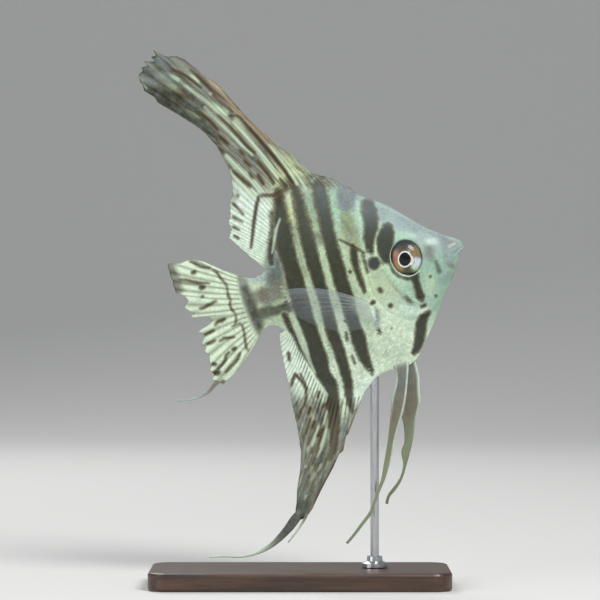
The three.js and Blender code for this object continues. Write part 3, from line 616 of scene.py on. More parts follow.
PATCHES = (
    ("mist", 0.5, 3, ((2, 2.5, 2), (10, 8, 2), (18, 15.5, 3), (26, 22, 3))),
    ("white", 0.5, 1.6, ((9.9, 4.2, 1), (7.6, 4, 1))),
    ("white", 0.35, 1, ((1.6, 2.2, 0.3), (4.8, 4.6, 0.3), (9, 7.8, 0.3), (14, 12.8, 0.3),
     (24, 21.6, 0.3))),
    ("slate", 0.6, 1.6, ((9.8, 1.8, 1.2), (11.4, 0.4, 1.2))),
    ("slate", 0.4, 1.4, ((6.6, 4.6, 0.9), (4.8, 3.4, 0.5))),
    ("mist", 0.8, 0.8, ((8.6, 6.4, 0.3), (6, 4.4, 0.3))),
    ("umber", 0.5, 1.5, ((11.1, 2.4, 0.9), (10.6, -0.8, 1))),
    ("lead", 0.8, 1.2, ((9.6, -2.2, 0.4), (9.4, -5.2, 0.7))),
    ("umber", 0.75, 1.2, ((6, -4.2, 0.5), (5.2, -4.9, 0.7))),
    ("slate", 0.5, 1.6, ((6.9, -7.2, 1.2), (9, -8.4, 1.2))),
    ("slate", 0.45, 1.3, ((5.6, -3.6, 1.2), (4.4, -2.2, 0.6))),
    ("slate", 0.4, 1, ((4.6, 2.2, 0.5), (6.2, 0.6, 0.7), (6.4, -1.6, 0.5))),
    ("slate", 0.6, 2.6, ((5.6, 2.4, 1.6), (3.4, 0.6, 1.2))),
    ("tan", 0.35, 0.7, ((3.8, 2.1, 0.3), (1.6, 2.1, 0.3))),
    ("celadon", 0.6, 0.5, ((4.4, 0.9, 0.25), (2.5, 1.5, 0.3))),
    ("celadon", 0.5, 1.5, ((12.6, -6, 1), (13.6, -10, 1.4))),
    ("smoke", 0.5, 0.7, ((25.7, -0.2, 0.3), (24.2, -5, 0.3), (22.2, -9.2, 0.3), (20.4, -12.4, 0.3))),
    ("slate", 0.35, 1, ((4.2, -0.6, 0.3), (6.8, -1.4, 0.5), (7.2, -4, 0.3))),
    ("slate", 0.3, 2, ((13.5, 8.5, 1.2), (17, 12.5, 1.6))),
    ("mint", 0.8, 1.2, ((19.6, 8.8, 0.6), (17.2, 8.2, 0.8), (14, 7, 0.6))),
    ("mint", 0.8, 1, ((24.2, -0.6, 0.6), (22.4, -5, 0.7), (20.4, -9, 0.8), (18.6, -12.6, 0.6))),
    ("white", 0.55, 1.2, ((22.8, -12.6, 1), (19, -15, 1), (16.4, -14.6, 0.6))),
    ("slate", 0.95, 2.2, ((29.4, 25, 2.9), (30.5, 22, 2.4), (30.9, 20.6, 1.2))),
    ("lime", 0.5, 2, ((31.6, 15, 2), (30.8, 9, 1.4))),
    ("moss", 0.9, 2.4, ((32, 17, 2.4), (31.6, 9, 1.8))),
    ("rust", 0.5, 0.7, ((3.2, -4.4, 0.2), (4.6, -6.5, 0.3), (6, -8.5, 0.25))),
    ("olive", 0.75, 1.8, ((41.2, 15, 1), (40.9, 13, 0.7))),
    ("umber", 0.6, 1.2, ((48, 6.8, 0.7), (48.2, 4.6, 0.4))),
    ("smoke", 0.5, 3, ((41, 27, 1), (41, 20, 1))),
    ("moss", 0.5, 3, ((41.4, 22, 1.2), (41.2, 14, 1))),
    ("moss", 0.55, 3, ((47.5, 19, 1), (47.9, 10, 1), (48.2, 4, 0.6))),
    ("lime", 0.7, 1.2, ((46.4, 27, 0.5), (46.9, 22.6, 0.7))),
    ("celadon", 0.6, 3, ((34.5, -13, 0.8), (35.5, -22, 1))),
    ("celadon", 0.6, 3, ((48, -8, 1), (48.4, -20, 1))),
    ("slate", 0.3, 3, ((21, 16, 2), (24, 20, 1))),
    ("umber", 0.5, 1, ((47.6, 19, 0.4), (48.4, 13.4, 0.4))),
    ("umber", 0.6, 0.8, ((32.6, 17, 0.4), (31.6, 12.4, 0.4))),
    ("umber", 0.4, 0.7, ((30.1, 14, 0.3), (29.6, 11.6, 0.4))),
    ("mint", 0.75, 0.9, ((35, 25, 0.6), (34, 20, 0.7), (34.6, 15, 0.6))),
    ("mint", 0.75, 0.7, ((27.3, 21.6, 0.4), (28, 16, 0.5), (29.2, 9.6, 0.5), (29.6, 6.6, 0.4))),
    ("lime", 0.6, 0.5, ((22.6, 14, 0.3), (24.6, 10.6, 0.35), (25.6, 7.2, 0.4), (26, 5.4, 0.4))),
    ("slate", 0.55, 1.5, ((31.2, -10.6, 0.8), (32, -15.6, 0.9))),
    ("white", 0.8, 0.9, ((31.6, -10, 0.5), (32.6, -13.4, 0.9))),
    ("night", 0.4, 0.9, ((30.4, -11.4, 0.5), (31, -14, 0.6))),
    ("slate", 0.95, 2.6, ((54.8, 17, 0.8), (56, 12, 1.8), (56.2, 8, 2.4), (58.6, 6.8, 1))),
    ("smoke", 0.9, 2, ((64, 2.6, 1.8), (58.4, 2.6, 3), (55.4, -1, 2.6), (55.2, -6, 1.4))),
    ("lead", 0.45, 3, ((70.2, -65.8, 2.6), (69.4, -61.5, 2.2))),
    ("smoke", 0.6, 2, ((43.2, 41.8, 0.9), (40.4, 37.6, 1.4), (37.2, 33.4, 1.4), (33.5, 29.8, 0.6))),
    ("lead", 0.55, 3, ((54.8, 16, 1), (56.8, 10.4, 2.4), (57.6, 6.4, 2.4), (55.2, 2, 1.6))),
    # Painted highlight along the top edge of the tail stalk
    ("mist", 0.6, 1.2, ((65.6, 8.4, 0.5), (62.4, 7.8, 0.6), (60, 8.4, 0.5))),
    ("umber", 0.85, 1.6, ((61.9, 3.2, 1.2), (61.6, 0.6, 1.3))),
    ("umber", 0.55, 2, ((58, 2.4, 1.8), (55, 4, 1.5))),
    ("olive", 0.9, 1.8, ((63.2, -2.6, 1.7), (57, -2.4, 1.9), (52.5, -2.6, 1.2))),
    ("smoke", 0.9, 2, ((67, 10, 0.9), (66.7, 8, 1.4), (66.6, 4, 1.6), (66.4, 0.8, 1.7), (66, -2.5, 1.7),
     (65.8, -5.5, 1.5), (66.2, -8, 0.9))),
    ("slate", 0.4, 1.4, ((67.2, 9, 0.8), (67, 5, 0.9), (66.8, 2, 0.8))),
    ("olive", 0.95, 2.4, ((66.8, 6, 0.8), (66.5, 1.6, 1.2), (66, -2.6, 1.3), (65.8, -6, 0.9))),
    ("smoke", 0.8, 1.8, ((34.6, 29.4, 0.8), (37.2, 30.6, 1.2), (41, 31, 0.8), (44.4, 32.4, 1.2),
     (48.6, 31, 1))),
    ("olive", 0.9, 2.2, ((50, 28.6, 1.2), (47.4, 31.2, 1.3), (44.8, 33.6, 0.9))),
    ("olive", 0.6, 1.8, ((42.6, 33.6, 0.5), (38.6, 32.6, 0.6))),
    ("cream", 0.9, 0.9, ((47.1, -30.5, 1), (47.8, -35, 1.15), (48.6, -39, 1.1))),
    ("smoke", 0.7, 1.6, ((48.6, -40, 1), (50.2, -44, 1.2), (52, -47.4, 1.2), (54.4, -50.8, 0.8))),
    ("mist", 0.35, 1.2, ((49.2, -41, 0.6), (51.2, -45, 0.6))),
    ("celadon", 0.7, 1, ((59.6, -0.9, 0.6), (57, -0.8, 0.6))),
    ("celadon", 0.8, 0.9, ((56, 3.2, 0.4), (54.8, -1, 0.6))),
    # Painted highlight along the top edge of the tail stalk
    ("mist", 0.6, 1.2, ((63.8, 7.6, 0.8), (60.6, 7.6, 0.8))),
    ("smoke", 0.7, 2.5, ((62.5, 34.5, 1), (63, 31, 0.5))),
    ("smoke", 0.95, 1.8, ((86.4, 18.4, 1.3), (86.2, 13, 1.7), (86.4, 10.8, 1.2))),
    ("umber", 0.5, 1.5, ((86.8, 18.6, 0.8), (86.8, 12, 0.7))),
    ("smoke", 0.5, 1.2, ((84, 12.6, 0.4), (79, 11, 0.3))),
    ("smoke", 0.55, 0.9, ((84.6, 3.4, 0.3), (80, 3.8, 0.3))),
    ("umber", 0.45, 1.2, ((86.5, 11, 0.7), (84.6, 10.6, 0.6))),
    ("umber", 0.5, 1, ((82.4, -15.8, 0.7), (81, -15.6, 0.6))),
    ("smoke", 0.6, 1, ((83, -19.4, 0.6), (79, -19.4, 0.5))),
    ("slate", 0.45, 1, ((79.5, 18, 0.4), (75.5, 14.8, 0.5))),
    ("smoke", 0.65, 3, ((62.4, -26, 1), (62.8, -36, 1.5), (63.6, -46, 2))),
    ("olive", 0.45, 3, ((56.5, -44, 1.6), (60, -51, 2.2), (64, -57, 2.4), (68.5, -62.5, 2))),
    # Painted shade: olive darkens the dorsal fin's top behind the crease, where the fin turns away from the
    # light
    ("olive", 0.95, 2.4, ((76.8, 69.6, 2.2), (71.4, 66, 3.6), (65.8, 57.4, 2.6), (62.6, 50, 1))),
    ("olive", 0.9, 1.4, ((69.6, 69, 0.6), (66.6, 65.6, 1), (64.6, 61.4, 1))),
    ("tan", 0.85, 1.4, ((46.4, 44.6, 0.6), (49.8, 50.6, 1.2), (54.4, 60, 1.4), (58.8, 68.6, 1.3))),
    ("tan", 0.5, 1, ((59.8, 70.4, 0.3), (65.6, 77.6, 0.3))),
    ("mist", 0.6, 2, ((73, 75.4, 0.8), (69.6, 72.6, 0.8))),
    ("mist", 0.55, 1.6, ((64.6, 71.4, 0.7), (62.4, 68, 0.8))),
    ("mint", 0.7, 1.2, ((60, 61.6, 0.6), (57, 57.8, 0.7))),
    ("slate", 0.7, 1, ((57.6, 57.3, 0.6), (55.6, 56.4, 0.6))),
    ("slate", 0.6, 3, ((70.6, 77.6, 2), (75, 78, 2.4), (78, 73, 1.4))),
    ("olive", 0.5, 2, ((70.5, 75.6, 0.8), (75.6, 76.4, 1))),
    ("smoke", 0.6, 2, ((47.6, -42.6, 1), (51.6, -47, 1.4))),
    ("rust", 0.75, 0.5, ((42.4, -36, 0.2), (45.4, -40, 0.25), (49.4, -44.9, 0.3), (52.4, -49.4, 0.2))),
    ("rust", 0.6, 0.7, ((54, -51, 0.2), (58, -55, 0.25), (62, -59.2, 0.25), (66, -63.6, 0.3))),
)

# Round dark spot behind the gill cover

GILL_SPOT = {"s": 27.5, "h": 2.5, "radius": 1.85}

# Marks with an edge: (s, h, half width) along each

BARS = (
    ((20.7, 11.4, 1.5), (21.3, 10, 2.2), (22.4, 8.2, 2.5), (23.1, 6, 2.3), (23.2, 4.2, 2.2),
     (23.3, 2.8, 1.6)),
    ((24.4, 19.8, 1.6), (24.6, 17.5, 2.1), (24.8, 15, 2), (25.5, 12.8, 2), (26.9, 10, 1.6),
     (27.4, 7.6, 1.2), (27.4, 6.3, 0.8)),
    ((32.3, 9.3, 0.4), (32.4, 7.5, 1), (32.9, 5, 1.1), (33, 2, 0.75), (32.8, 0, 0.8), (32.7, -2.6, 0.75),
     (32.6, -5, 0.4)),
    ((30, 6, 0.25), (30.1, 3, 0.35), (30.2, 0.6, 0.2)),
    ((36.9, 30, 1.1), (37.2, 27, 1.9), (37.3, 25, 2.05), (37.7, 20, 1.95), (38.1, 15, 1.9),
     (38.3, 10, 1.95), (38.4, 4, 2.15), (38.5, 0, 2.1), (38.2, -5, 2.05), (38.4, -10, 1.8),
     (38.3, -14, 1.7), (38.2, -18, 2.2), (38.2, -21, 1.8), (37.9, -25, 1.4), (37.3, -28, 0.8),
     (37.2, -29.2, 0.3)),
    ((44.7, 34, 0.3), (44, 31, 1.1), (43.9, 28, 1.55), (44.1, 25, 1.45), (44.4, 20, 1.85),
     (44.6, 15, 2.05), (44.8, 8, 2), (44.8, 2, 1.8), (44.8, -5, 1.6), (45, -10, 1.7), (45.2, -15, 1.8),
     (44.7, -20, 1.6), (44.7, -25, 1.5), (44.8, -30, 1.3), (45.5, -33, 1.2), (45.9, -36, 0.7),
     (46, -38.5, 0.3)),
    ((49.2, 31, 0.9), (49.3, 28, 1.3), (50.4, 24, 2.2), (51, 20, 2.6), (51.6, 15, 2.6), (51.5, 10, 2.3),
     (51.6, 4, 2.5), (51.7, -3, 2.5), (51.6, -9, 2.3), (51.2, -15, 2.1), (51.2, -20, 2.6),
     (51.3, -25, 2.1), (50, -29, 2), (50.6, -33, 2), (51.2, -36, 1.8), (52.1, -40, 1.4), (53, -43, 1.1),
     (54.2, -47, 0.9), (56.5, -50.5, 0.5)),
    ((52.4, 25.4, 0.5), (53.1, 22.6, 0.6), (54.2, 19.6, 0.6), (55.5, 16.6, 0.6), (56.4, 13.6, 0.6),
     (57, 11, 0.5)),
    ((57.5, -5, 0.7), (57, -8, 0.9), (56.3, -12, 0.5), (55.8, -16, 0.3), (54.7, -20, 0.25),
     (53.3, -24.6, 0.2)),
    ((17.1, -4.4, 1.4), (16.9, -7, 0.95), (17, -9, 1), (16.9, -10.8, 1.2), (16.8, -11.8, 0.7)),
    ((16, -16.3, 0.7), (17.8, -17.4, 1.3), (19, -19, 1.6), (19.7, -21, 1.6), (20.7, -23.3, 1.5),
     (22, -25.4, 1.2), (23.3, -26.6, 0.7)),
    # Painted shadow: a thin dark arc just outside the eye's rim, behind it and below it
    ((23, 1.6, 0.2), (22.7, -1.4, 0.3), (21, -3.7, 0.35), (18.4, -4.9, 0.5)),
)
SPOTS = (
    ((28.1, -5.4, 0.62), (27.9, -6.1, 0.62)), ((31.6, -8.8, 0.4), (30.9, -8.6, 0.65)),
    ((26.3, -11, 0.7),), ((31.8, -17, 0.5), (31.7, -18, 0.5)), ((31.4, -23.7, 0.25),), ((35.1, 2, 0.5),),
    ((41.2, -15, 0.25), (41.5, -17.2, 0.4)), ((41.5, -22.3, 0.3), (41.3, -24.7, 0.3)),
    ((40.6, -11.7, 0.35),), ((12.4, -6, 0.35),), ((12.4, -12, 0.35),),
    ((21.2, -9.6, 0.3), (20.7, -10.8, 0.5), (19.8, -11.9, 0.25)),
    ((17.4, -13.9, 0.4), (16.3, -13.8, 0.5)),
    ((35.5, 12.2, 0.2), (33.3, 10.2, 0.28), (31.2, 8.2, 0.26), (29.6, 6.4, 0.2)), ((27.9, -17.7, 0.2),),
)
DASHES = (
    ((54.2, 56.2, 0.3), (52.1, 51.7, 0.5), (50.4, 48.3, 0.5), (48.8, 44.6, 0.5), (47.5, 41.7, 0.5),
     (45.4, 36.7, 0.5), (44.2, 32.5, 0.4)),
    ((60, 58.3, 0.25), (57.9, 54.6, 0.35), (55.8, 50.4, 0.35), (54.2, 46.7, 0.35), (52.5, 44.2, 0.3)),
    ((56.4, 57.1, 0.5), (55.2, 56.6, 0.4)), ((61.3, 51.9, 0.45), (59.6, 49.2, 0.45)),
    ((56.7, 46.3, 0.4), (55.8, 44.6, 0.4)), ((56.3, 42.9, 0.4), (55, 40.8, 0.4)),
    ((55.8, 38.8, 0.3), (55.2, 37.1, 0.3)), ((53.5, 37.5, 0.5), (52.7, 34.6, 0.45)),
    ((52.5, 41.7, 0.35), (50.4, 36.7, 0.45), (49.6, 33.8, 0.4)), ((47.5, 34.6, 0.3), (46.3, 32.1, 0.4)),
    ((60.4, 40.8, 0.4), (58.3, 37.5, 0.5), (56.7, 35, 0.45)), ((62.5, 48.8, 0.35), (61.3, 46.7, 0.4)),
    ((64.6, 60, 0.35), (62.5, 56.7, 0.4), (61.3, 53.8, 0.35)),
    ((70, 75.4, 0.3), (67.5, 73.8, 0.4), (65.4, 71.3, 0.4), (62.5, 67.5, 0.3)),
    ((64.6, 73.8, 0.3), (62.5, 70.8, 0.4), (60.4, 67.1, 0.4), (59.2, 64.2, 0.3)),
    ((59.6, 64.2, 0.3), (57.9, 61.3, 0.35), (55.8, 58.3, 0.3)), ((70, 69.2, 0.35), (67.1, 65.4, 0.35)),
    ((55, 31.3, 0.4), (56.3, 29.2, 0.45), (57.5, 26.7, 0.45), (58.8, 23.8, 0.42), (60, 20.8, 0.38),
     (61.5, 17.3, 0.28)),
    ((54.2, 31.5, 0.4), (52.1, 30.8, 0.45), (50.6, 30.4, 0.5), (48.8, 30.8, 0.5), (46.3, 31.3, 0.3)),
    ((62.9, 31.3, 0.3), (61, 27.5, 0.2)), ((64.1, 27.5, 0.35), (61.9, 25.4, 0.15)),
    ((64.8, 24.6, 0.35), (63.5, 23.4, 0.2)), ((65.3, 22, 0.3), (64.4, 21, 0.3)), ((61, 33.3, 0.4),),
    ((59.5, -16.3, 0.4), (59.8, -18.3, 0.35)),
    ((61.3, -25.7, 0.3), (60.5, -24.3, 0.4), (59.3, -23, 0.45), (58.3, -24.7, 0.4), (57.7, -26.3, 0.4),
     (57.3, -28, 0.45), (57.8, -29.3, 0.3)),
    ((57.8, -23.3, 0.25), (57.3, -26.7, 0.25)),
    ((57.7, -29.7, 0.25), (59.3, -32.7, 0.25), (61, -34, 0.2)), ((57.8, -34, 0.5), (58.7, -35.3, 0.4)),
    ((57.7, -38.3, 0.45), (58.7, -39.7, 0.4)), ((56, -41, 0.4), (57.7, -42.7, 0.4)),
    ((54.7, -31.3, 0.3), (54, -30, 0.3)), ((53, -34, 0.3), (54, -34.7, 0.3)),
    ((60.3, -33.5, 0.15), (62, -36, 0.15)), ((58.7, -37, 0.18), (61.3, -41, 0.15)),
    ((58, -40, 0.18), (61.5, -44.5, 0.15)), ((57, -43, 0.18), (60.3, -47, 0.15)),
    ((60.7, -45.5, 0.18), (63.8, -50, 0.15)), ((58.5, -46, 0.18), (62, -50.5, 0.15)),
    ((61, -50.5, 0.15), (64, -54, 0.15)), ((60.5, -53, 0.15), (66, -58.5, 0.12)),
    ((40, -34.7, 0.1), (42, -36, 0.15), (44.7, -39.3, 0.15), (46.7, -41.7, 0.15), (48, -44.7, 0.15),
     (50.7, -48.3, 0.15), (54, -50.3, 0.15), (58.7, -55.3, 0.15), (64.7, -61.7, 0.15)),
    ((74.5, 14, 0.15), (73.5, 13, 0.3), (72.9, 11.1, 0.28), (72, 9.3, 0.2), (71.7, 7.8, 0.15),
     (72, 6.3, 0.2), (72.1, 5.1, 0.32), (71.7, 3.9, 0.15), (72.4, 2.7, 0.25), (72.3, 1.2, 0.3),
     (71.7, 0, 0.2), (71.5, -1.2, 0.1), (72.1, -3, 0.25), (72.9, -3.9, 0.1)),
    ((70.6, -4.5, 0.2), (70.5, -6.3, 0.2), (71, -9.3, 0.28), (71.2, -11.4, 0.26), (70.8, -12.3, 0.15)),
    ((80.4, 14.9, 0.55), (79.8, 14.9, 0.5)), ((79.3, 9.8, 0.6), (78.5, 9.8, 0.55)), ((79.6, 7.2, 0.4),),
    ((84.9, 14, 0.2), (83.1, 13.4, 0.3), (81.3, 12.4, 0.35), (79.5, 11.4, 0.35), (76.6, 10.5, 0.2)),
    ((81.2, 3.9, 0.3), (80.1, 3.8, 0.35), (78.9, 4.2, 0.4), (77.7, 4.4, 0.35), (76.2, 4.8, 0.25)),
    ((78.3, -2.1, 0.25), (77.1, -1.2, 0.35), (76, -1.4, 0.55), (75, -1.1, 0.3)),
    ((82.2, -4.1, 0.3), (80.7, -3.8, 0.38), (79.2, -3.5, 0.35)), ((73.5, -3.9, 0.15), (71, -3.6, 0.15)),
    ((82.2, -6.9, 0.3), (80.7, -6.8, 0.38), (79.8, -6.5, 0.3)),
    ((78.3, -7.1, 0.25), (76.8, -6.6, 0.35), (75.3, -6.9, 0.3), (73.8, -7.1, 0.2)),
    ((75.1, -10.6, 0.5), (74.5, -10.4, 0.45)),
    ((76.5, -11.1, 0.25), (77.7, -11.7, 0.35), (78.3, -13, 0.35), (79.5, -14, 0.35), (81.3, -14.9, 0.25)),
    ((73.5, -12.3, 0.25), (74.7, -13.9, 0.35), (76.2, -14.8, 0.35), (77.7, -15.7, 0.35),
     (79.2, -16.6, 0.25)),
    ((82.1, -13.2, 0.5), (81.6, -13.4, 0.5)), ((82.3, -15.9, 0.7), (81.5, -16.1, 0.7)),
    ((80.7, -19.1, 0.5),), ((80.1, 18.4, 0.25), (78.9, 17.2, 0.3), (77.7, 16, 0.3), (75.3, 14.8, 0.2)),
)
LIGHTS = (
    ((67.1, 69.6, 0.3), (64.2, 65.8, 0.4), (61.7, 62.5, 0.4), (60, 59.6, 0.4), (57.5, 55, 0.4)),
    ((63.3, 61.7, 0.3), (60, 55.8, 0.35), (57.5, 51.3, 0.35), (55.8, 47.9, 0.35), (53.3, 43.8, 0.3)),
    ((55.8, 55, 0.5), (53.3, 49.2, 0.6), (50.8, 43.3, 0.6), (49.2, 39.2, 0.6), (47.9, 35, 0.45)),
    ((47.5, 45.4, 0.35), (46.3, 42.1, 0.45), (45, 38.8, 0.45), (43.8, 35, 0.45), (42.9, 31.7, 0.4)),
    ((42.9, 36.7, 0.25), (41.7, 32.9, 0.35), (40.8, 29.6, 0.3)),
    ((60.8, 40.8, 0.5), (59.2, 37.1, 0.9), (56.3, 32.1, 0.8)),
    ((61.3, 46.3, 0.5), (59.2, 42.1, 0.65), (55.8, 37.1, 0.7), (53.3, 31.7, 0.4)),
    ((59.6, 60.3, 0.6), (57.6, 57.8, 0.5)), ((64.4, 71.8, 0.5), (63, 69.4, 0.5)), ((60.4, 65, 0.4),),
    ((72.6, 75.4, 0.1), (71, 74, 0.1)), ((70, 73.1, 0.5), (68.4, 71.5, 0.5)),
    ((80, 77, 0.15), (79.3, 74.6, 0.15), (78.5, 72, 0.12)),
    ((50.8, 23.1, 0.1), (52.6, 20.6, 0.3), (54.1, 17.5, 0.3), (55.9, 13.9, 0.1)),
    ((55.5, -5.5, 0.7), (55, -9, 0.85), (54.7, -13, 0.8), (54.3, -17, 0.6), (54, -21, 0.35),
     (53.5, -24, 0.2)),
    ((54.7, -41.7, 0.4), (56.3, -44, 0.55), (57.7, -46, 0.55), (60, -48.3, 0.4)),
    ((53.2, -36.4, 0.2), (55, -39.6, 0.3)), ((52.6, -29.7, 0.4), (52.3, -31.3, 0.7), (53.3, -33, 0.5)),
    ((57, -40, 0.3), (58.7, -42, 0.3), (60.7, -44.3, 0.3), (62, -46, 0.25)),
    ((58.7, -43, 0.3), (61, -45.3, 0.3), (63, -48.7, 0.25)), ((61.7, -47.3, 0.4), (64, -50.3, 0.4)),
    ((61.7, -50.7, 0.3), (63.3, -53, 0.25)), ((59.3, -51, 0.2), (65.3, -57.7, 0.2), (67, -59.7, 0.15)),
)


def colours_now(scene):
    """The scene's paints, as linear colours."""
    chosen = scene.angelfish_paints
    return {name: np.array(getattr(chosen, name)[:]) for name in PAINTS}


def bell_mean(s, h, places, colours, spread, fallback):
    """Mean of the colours near (s, h), weighed by bells round the places (name, s, h, reach). Far from
    all of them it is the fallback."""
    total = np.full(np.shape(s), 1e-6)
    colour = total[:, None] * fallback
    for name, s0, h0, reach in places:
        weight = hump(np.hypot(s - s0, h - h0), spread * reach)
        total = total + weight
        colour = colour + weight[:, None] * colours[name]
    return colour / total[:, None]


def ground_colour(s, h, paints):
    """The ground's paints, mixed by bells, with the soft patches laid over them in turn, and how much of
    the mix is the fins' grey."""
    colours = {name: np.append(paints[name], name in ("smoke", "lime")) for name in PAINTS}
    mixed = bell_mean(s, h, GROUND, colours, 1.4, colours["celadon"])
    colour, smoky = mixed[:, :3], mixed[:, 3]
    for name, strength, soft, path in PATCHES:
        share = strength * smoothstep(inside(s, h, (path,)), -0.6 * soft, 0.4 * soft)
        colour = mix(colour, paints[name], share[:, None])
    return colour, smoky


def bar_colour(s, h, paints):
    """Near black below and behind, and greyer where the scales shine, on the upper flank."""
    shine = smoothstep(h, 4, 22) * smoothstep(s, 56, 40)
    shine = np.maximum(shine, 0.55 * smoothstep(s, 50, 58) * smoothstep(h, -6, 6))
    colour = mix(paints["ink"], paints["lead"], shine[:, None])
    colour = mix(colour, paints["umber"] * 0.75, (0.75 * smoothstep(h, -28, -44))[:, None])
    upper = smoothstep(h - 0.6 * s, -4, 8) * smoothstep(s, 46, 36) * (h > 6)
    colour = mix(colour, paints["slate"] * 0.7, (0.8 * upper)[:, None])
    spot = smoothstep(np.hypot(s - GILL_SPOT["s"], h - GILL_SPOT["h"]), 3, 2)
    return mix(colour, paints["night"], spot[:, None])


def markings(s, h, paints):
    """The fields that the skin's and the scales' materials read, as numbers and colours."""
    round_spot = GILL_SPOT["radius"] - np.hypot(s - GILL_SPOT["s"], h - GILL_SPOT["h"])
    numbers = {
        "bars": np.maximum(inside(s, h, BARS), round_spot) * mix(1, 0.55, smoothstep(h, 6, 22)),
        "spots": inside(s, h, SPOTS),
        "dashes": inside(s, h, DASHES),
        "lights": inside(s, h, LIGHTS),
    }
    ground, numbers["smoky"] = ground_colour(s, h, paints)
    colours = {"ground": ground, "dark": bar_colour(s, h, paints)}
    return numbers, colours


# Materials

# The membrane between two rays: its own darker tone, with painted shade that deepens midway between the rays
BETWEEN_RAYS = paint(140, 134, 118)  # what the membrane between two rays is multiplied by
STAND_PAINTS = {
    "dark_wood": paint(48, 32, 24), "light_wood": paint(84, 58, 42), "pores": paint(26, 18, 14),
    "dark_steel": paint(178, 180, 184), "light_steel": paint(210, 211, 214),
}
FLOOR_PAINT = paint(232, 232, 230)
AIR_PAINT = (0.9, 0.93, 0.95)


class Finish:
    """A material built node by node: sockets or plain values go in, and a socket comes out."""

    def __init__(self, name):
        self.material = bpy.data.materials.new(name)
        self.material.use_nodes = True
        self.tree = self.material.node_tree
        self.shader = self.tree.nodes["Principled BSDF"]

    def put(self, kind, values=None, output=0, **settings):
        """Adds a node, fills or links its inputs, and returns one of its outputs."""
        node = self.tree.nodes.new(kind)
        for key, value in settings.items():
            setattr(node, key, value)
        for key, value in (values or {}).items():
            self.fill(node.inputs[key], value)
        return node.outputs[output]

    def fill(self, socket, value):
        """Links a socket's value in, or sets a plain one."""
        if isinstance(value, bpy.types.NodeSocket):
            self.tree.links.new(value, socket)
        else:
            socket.default_value = value

    def read(self, name, output="Fac"):
        """A named attribute of the mesh: Fac for a number, Color for a colour."""
        return self.put("ShaderNodeAttribute", output=output, attribute_name=name)

    def place(self, stretch=None):
        """Places on the piece, squeezed along each axis by stretch where it is given."""
        place = self.put("ShaderNodeTexCoord", output="Object")
        if stretch:
            place = self.put("ShaderNodeMapping", {"Vector": place, "Scale": stretch})
        return place

    def maths(self, operation, a, b=0.0, c=0.0):
        """One step of arithmetic on sockets or numbers."""
        return self.put("ShaderNodeMath", {0: a, 1: b, 2: c}, operation=operation)

    def times(self, a, b):
        """a multiplied by b."""
        return self.maths("MULTIPLY", a, b)

    def noise(self, size, detail=3, rough=0.55, stretch=None):
        """Noise with features of about that size in millimetres, 0 to 1."""
        place = self.place(stretch)
        values = {"Vector": place, "Scale": 1 / (size * MM), "Detail": detail, "Roughness": rough}
        return self.put("ShaderNodeTexNoise", values)

    def streaks(self, across, along_it, third, scale, detail):
        """Noise drawn out along a surface, from numbers that run across and along it."""
        flow = self.put("ShaderNodeCombineXYZ", {0: across, 1: along_it, 2: third})
        values = {"Vector": flow, "Scale": scale, "Detail": detail, "Roughness": 0.5}
        return self.put("ShaderNodeTexNoise", values)

    def ray_side(self, ray):
        """0.5 on a ray, falling evenly to 0 midway between two."""
        return self.maths("ABSOLUTE", self.maths("SUBTRACT", self.maths("FRACT", ray), 0.5))

    def step(self, value, low, high, to_low=0.0, to_high=1.0):
        """Runs smoothly from to_low to to_high as value runs from low to high."""
        values = {0: value, 1: low, 2: high, 3: to_low, 4: to_high}
        return self.put("ShaderNodeMapRange", values, interpolation_type="SMOOTHSTEP")

    def blend(self, share, a, b, how="MIX"):
        """Colour a with b laid over it by share."""
        return self.put("ShaderNodeMix", {0: share, 6: a, 7: b}, output=2, data_type="RGBA", blend_type=how)

    def tone(self, colour, factor):
        """The colour made lighter or darker by a factor."""
        grey = self.put("ShaderNodeCombineColor", {0: factor, 1: factor, 2: factor})
        return self.blend(1.0, colour, grey, "MULTIPLY")

    def bump(self, height, distance, strength):
        """Fine relief of that distance in millimetres."""
        return self.put("ShaderNodeBump", {"Height": height, "Distance": distance * MM, "Strength": strength})

    def shade(self, **values):
        """Sets the shader's own sockets."""
        for key, value in values.items():
            self.fill(self.shader.inputs[key.replace("_", " ")], value)
        return self.material


def rgba(colour):
    """A colour with full alpha, as sockets take it."""
    return (*colour[:3], 1.0)


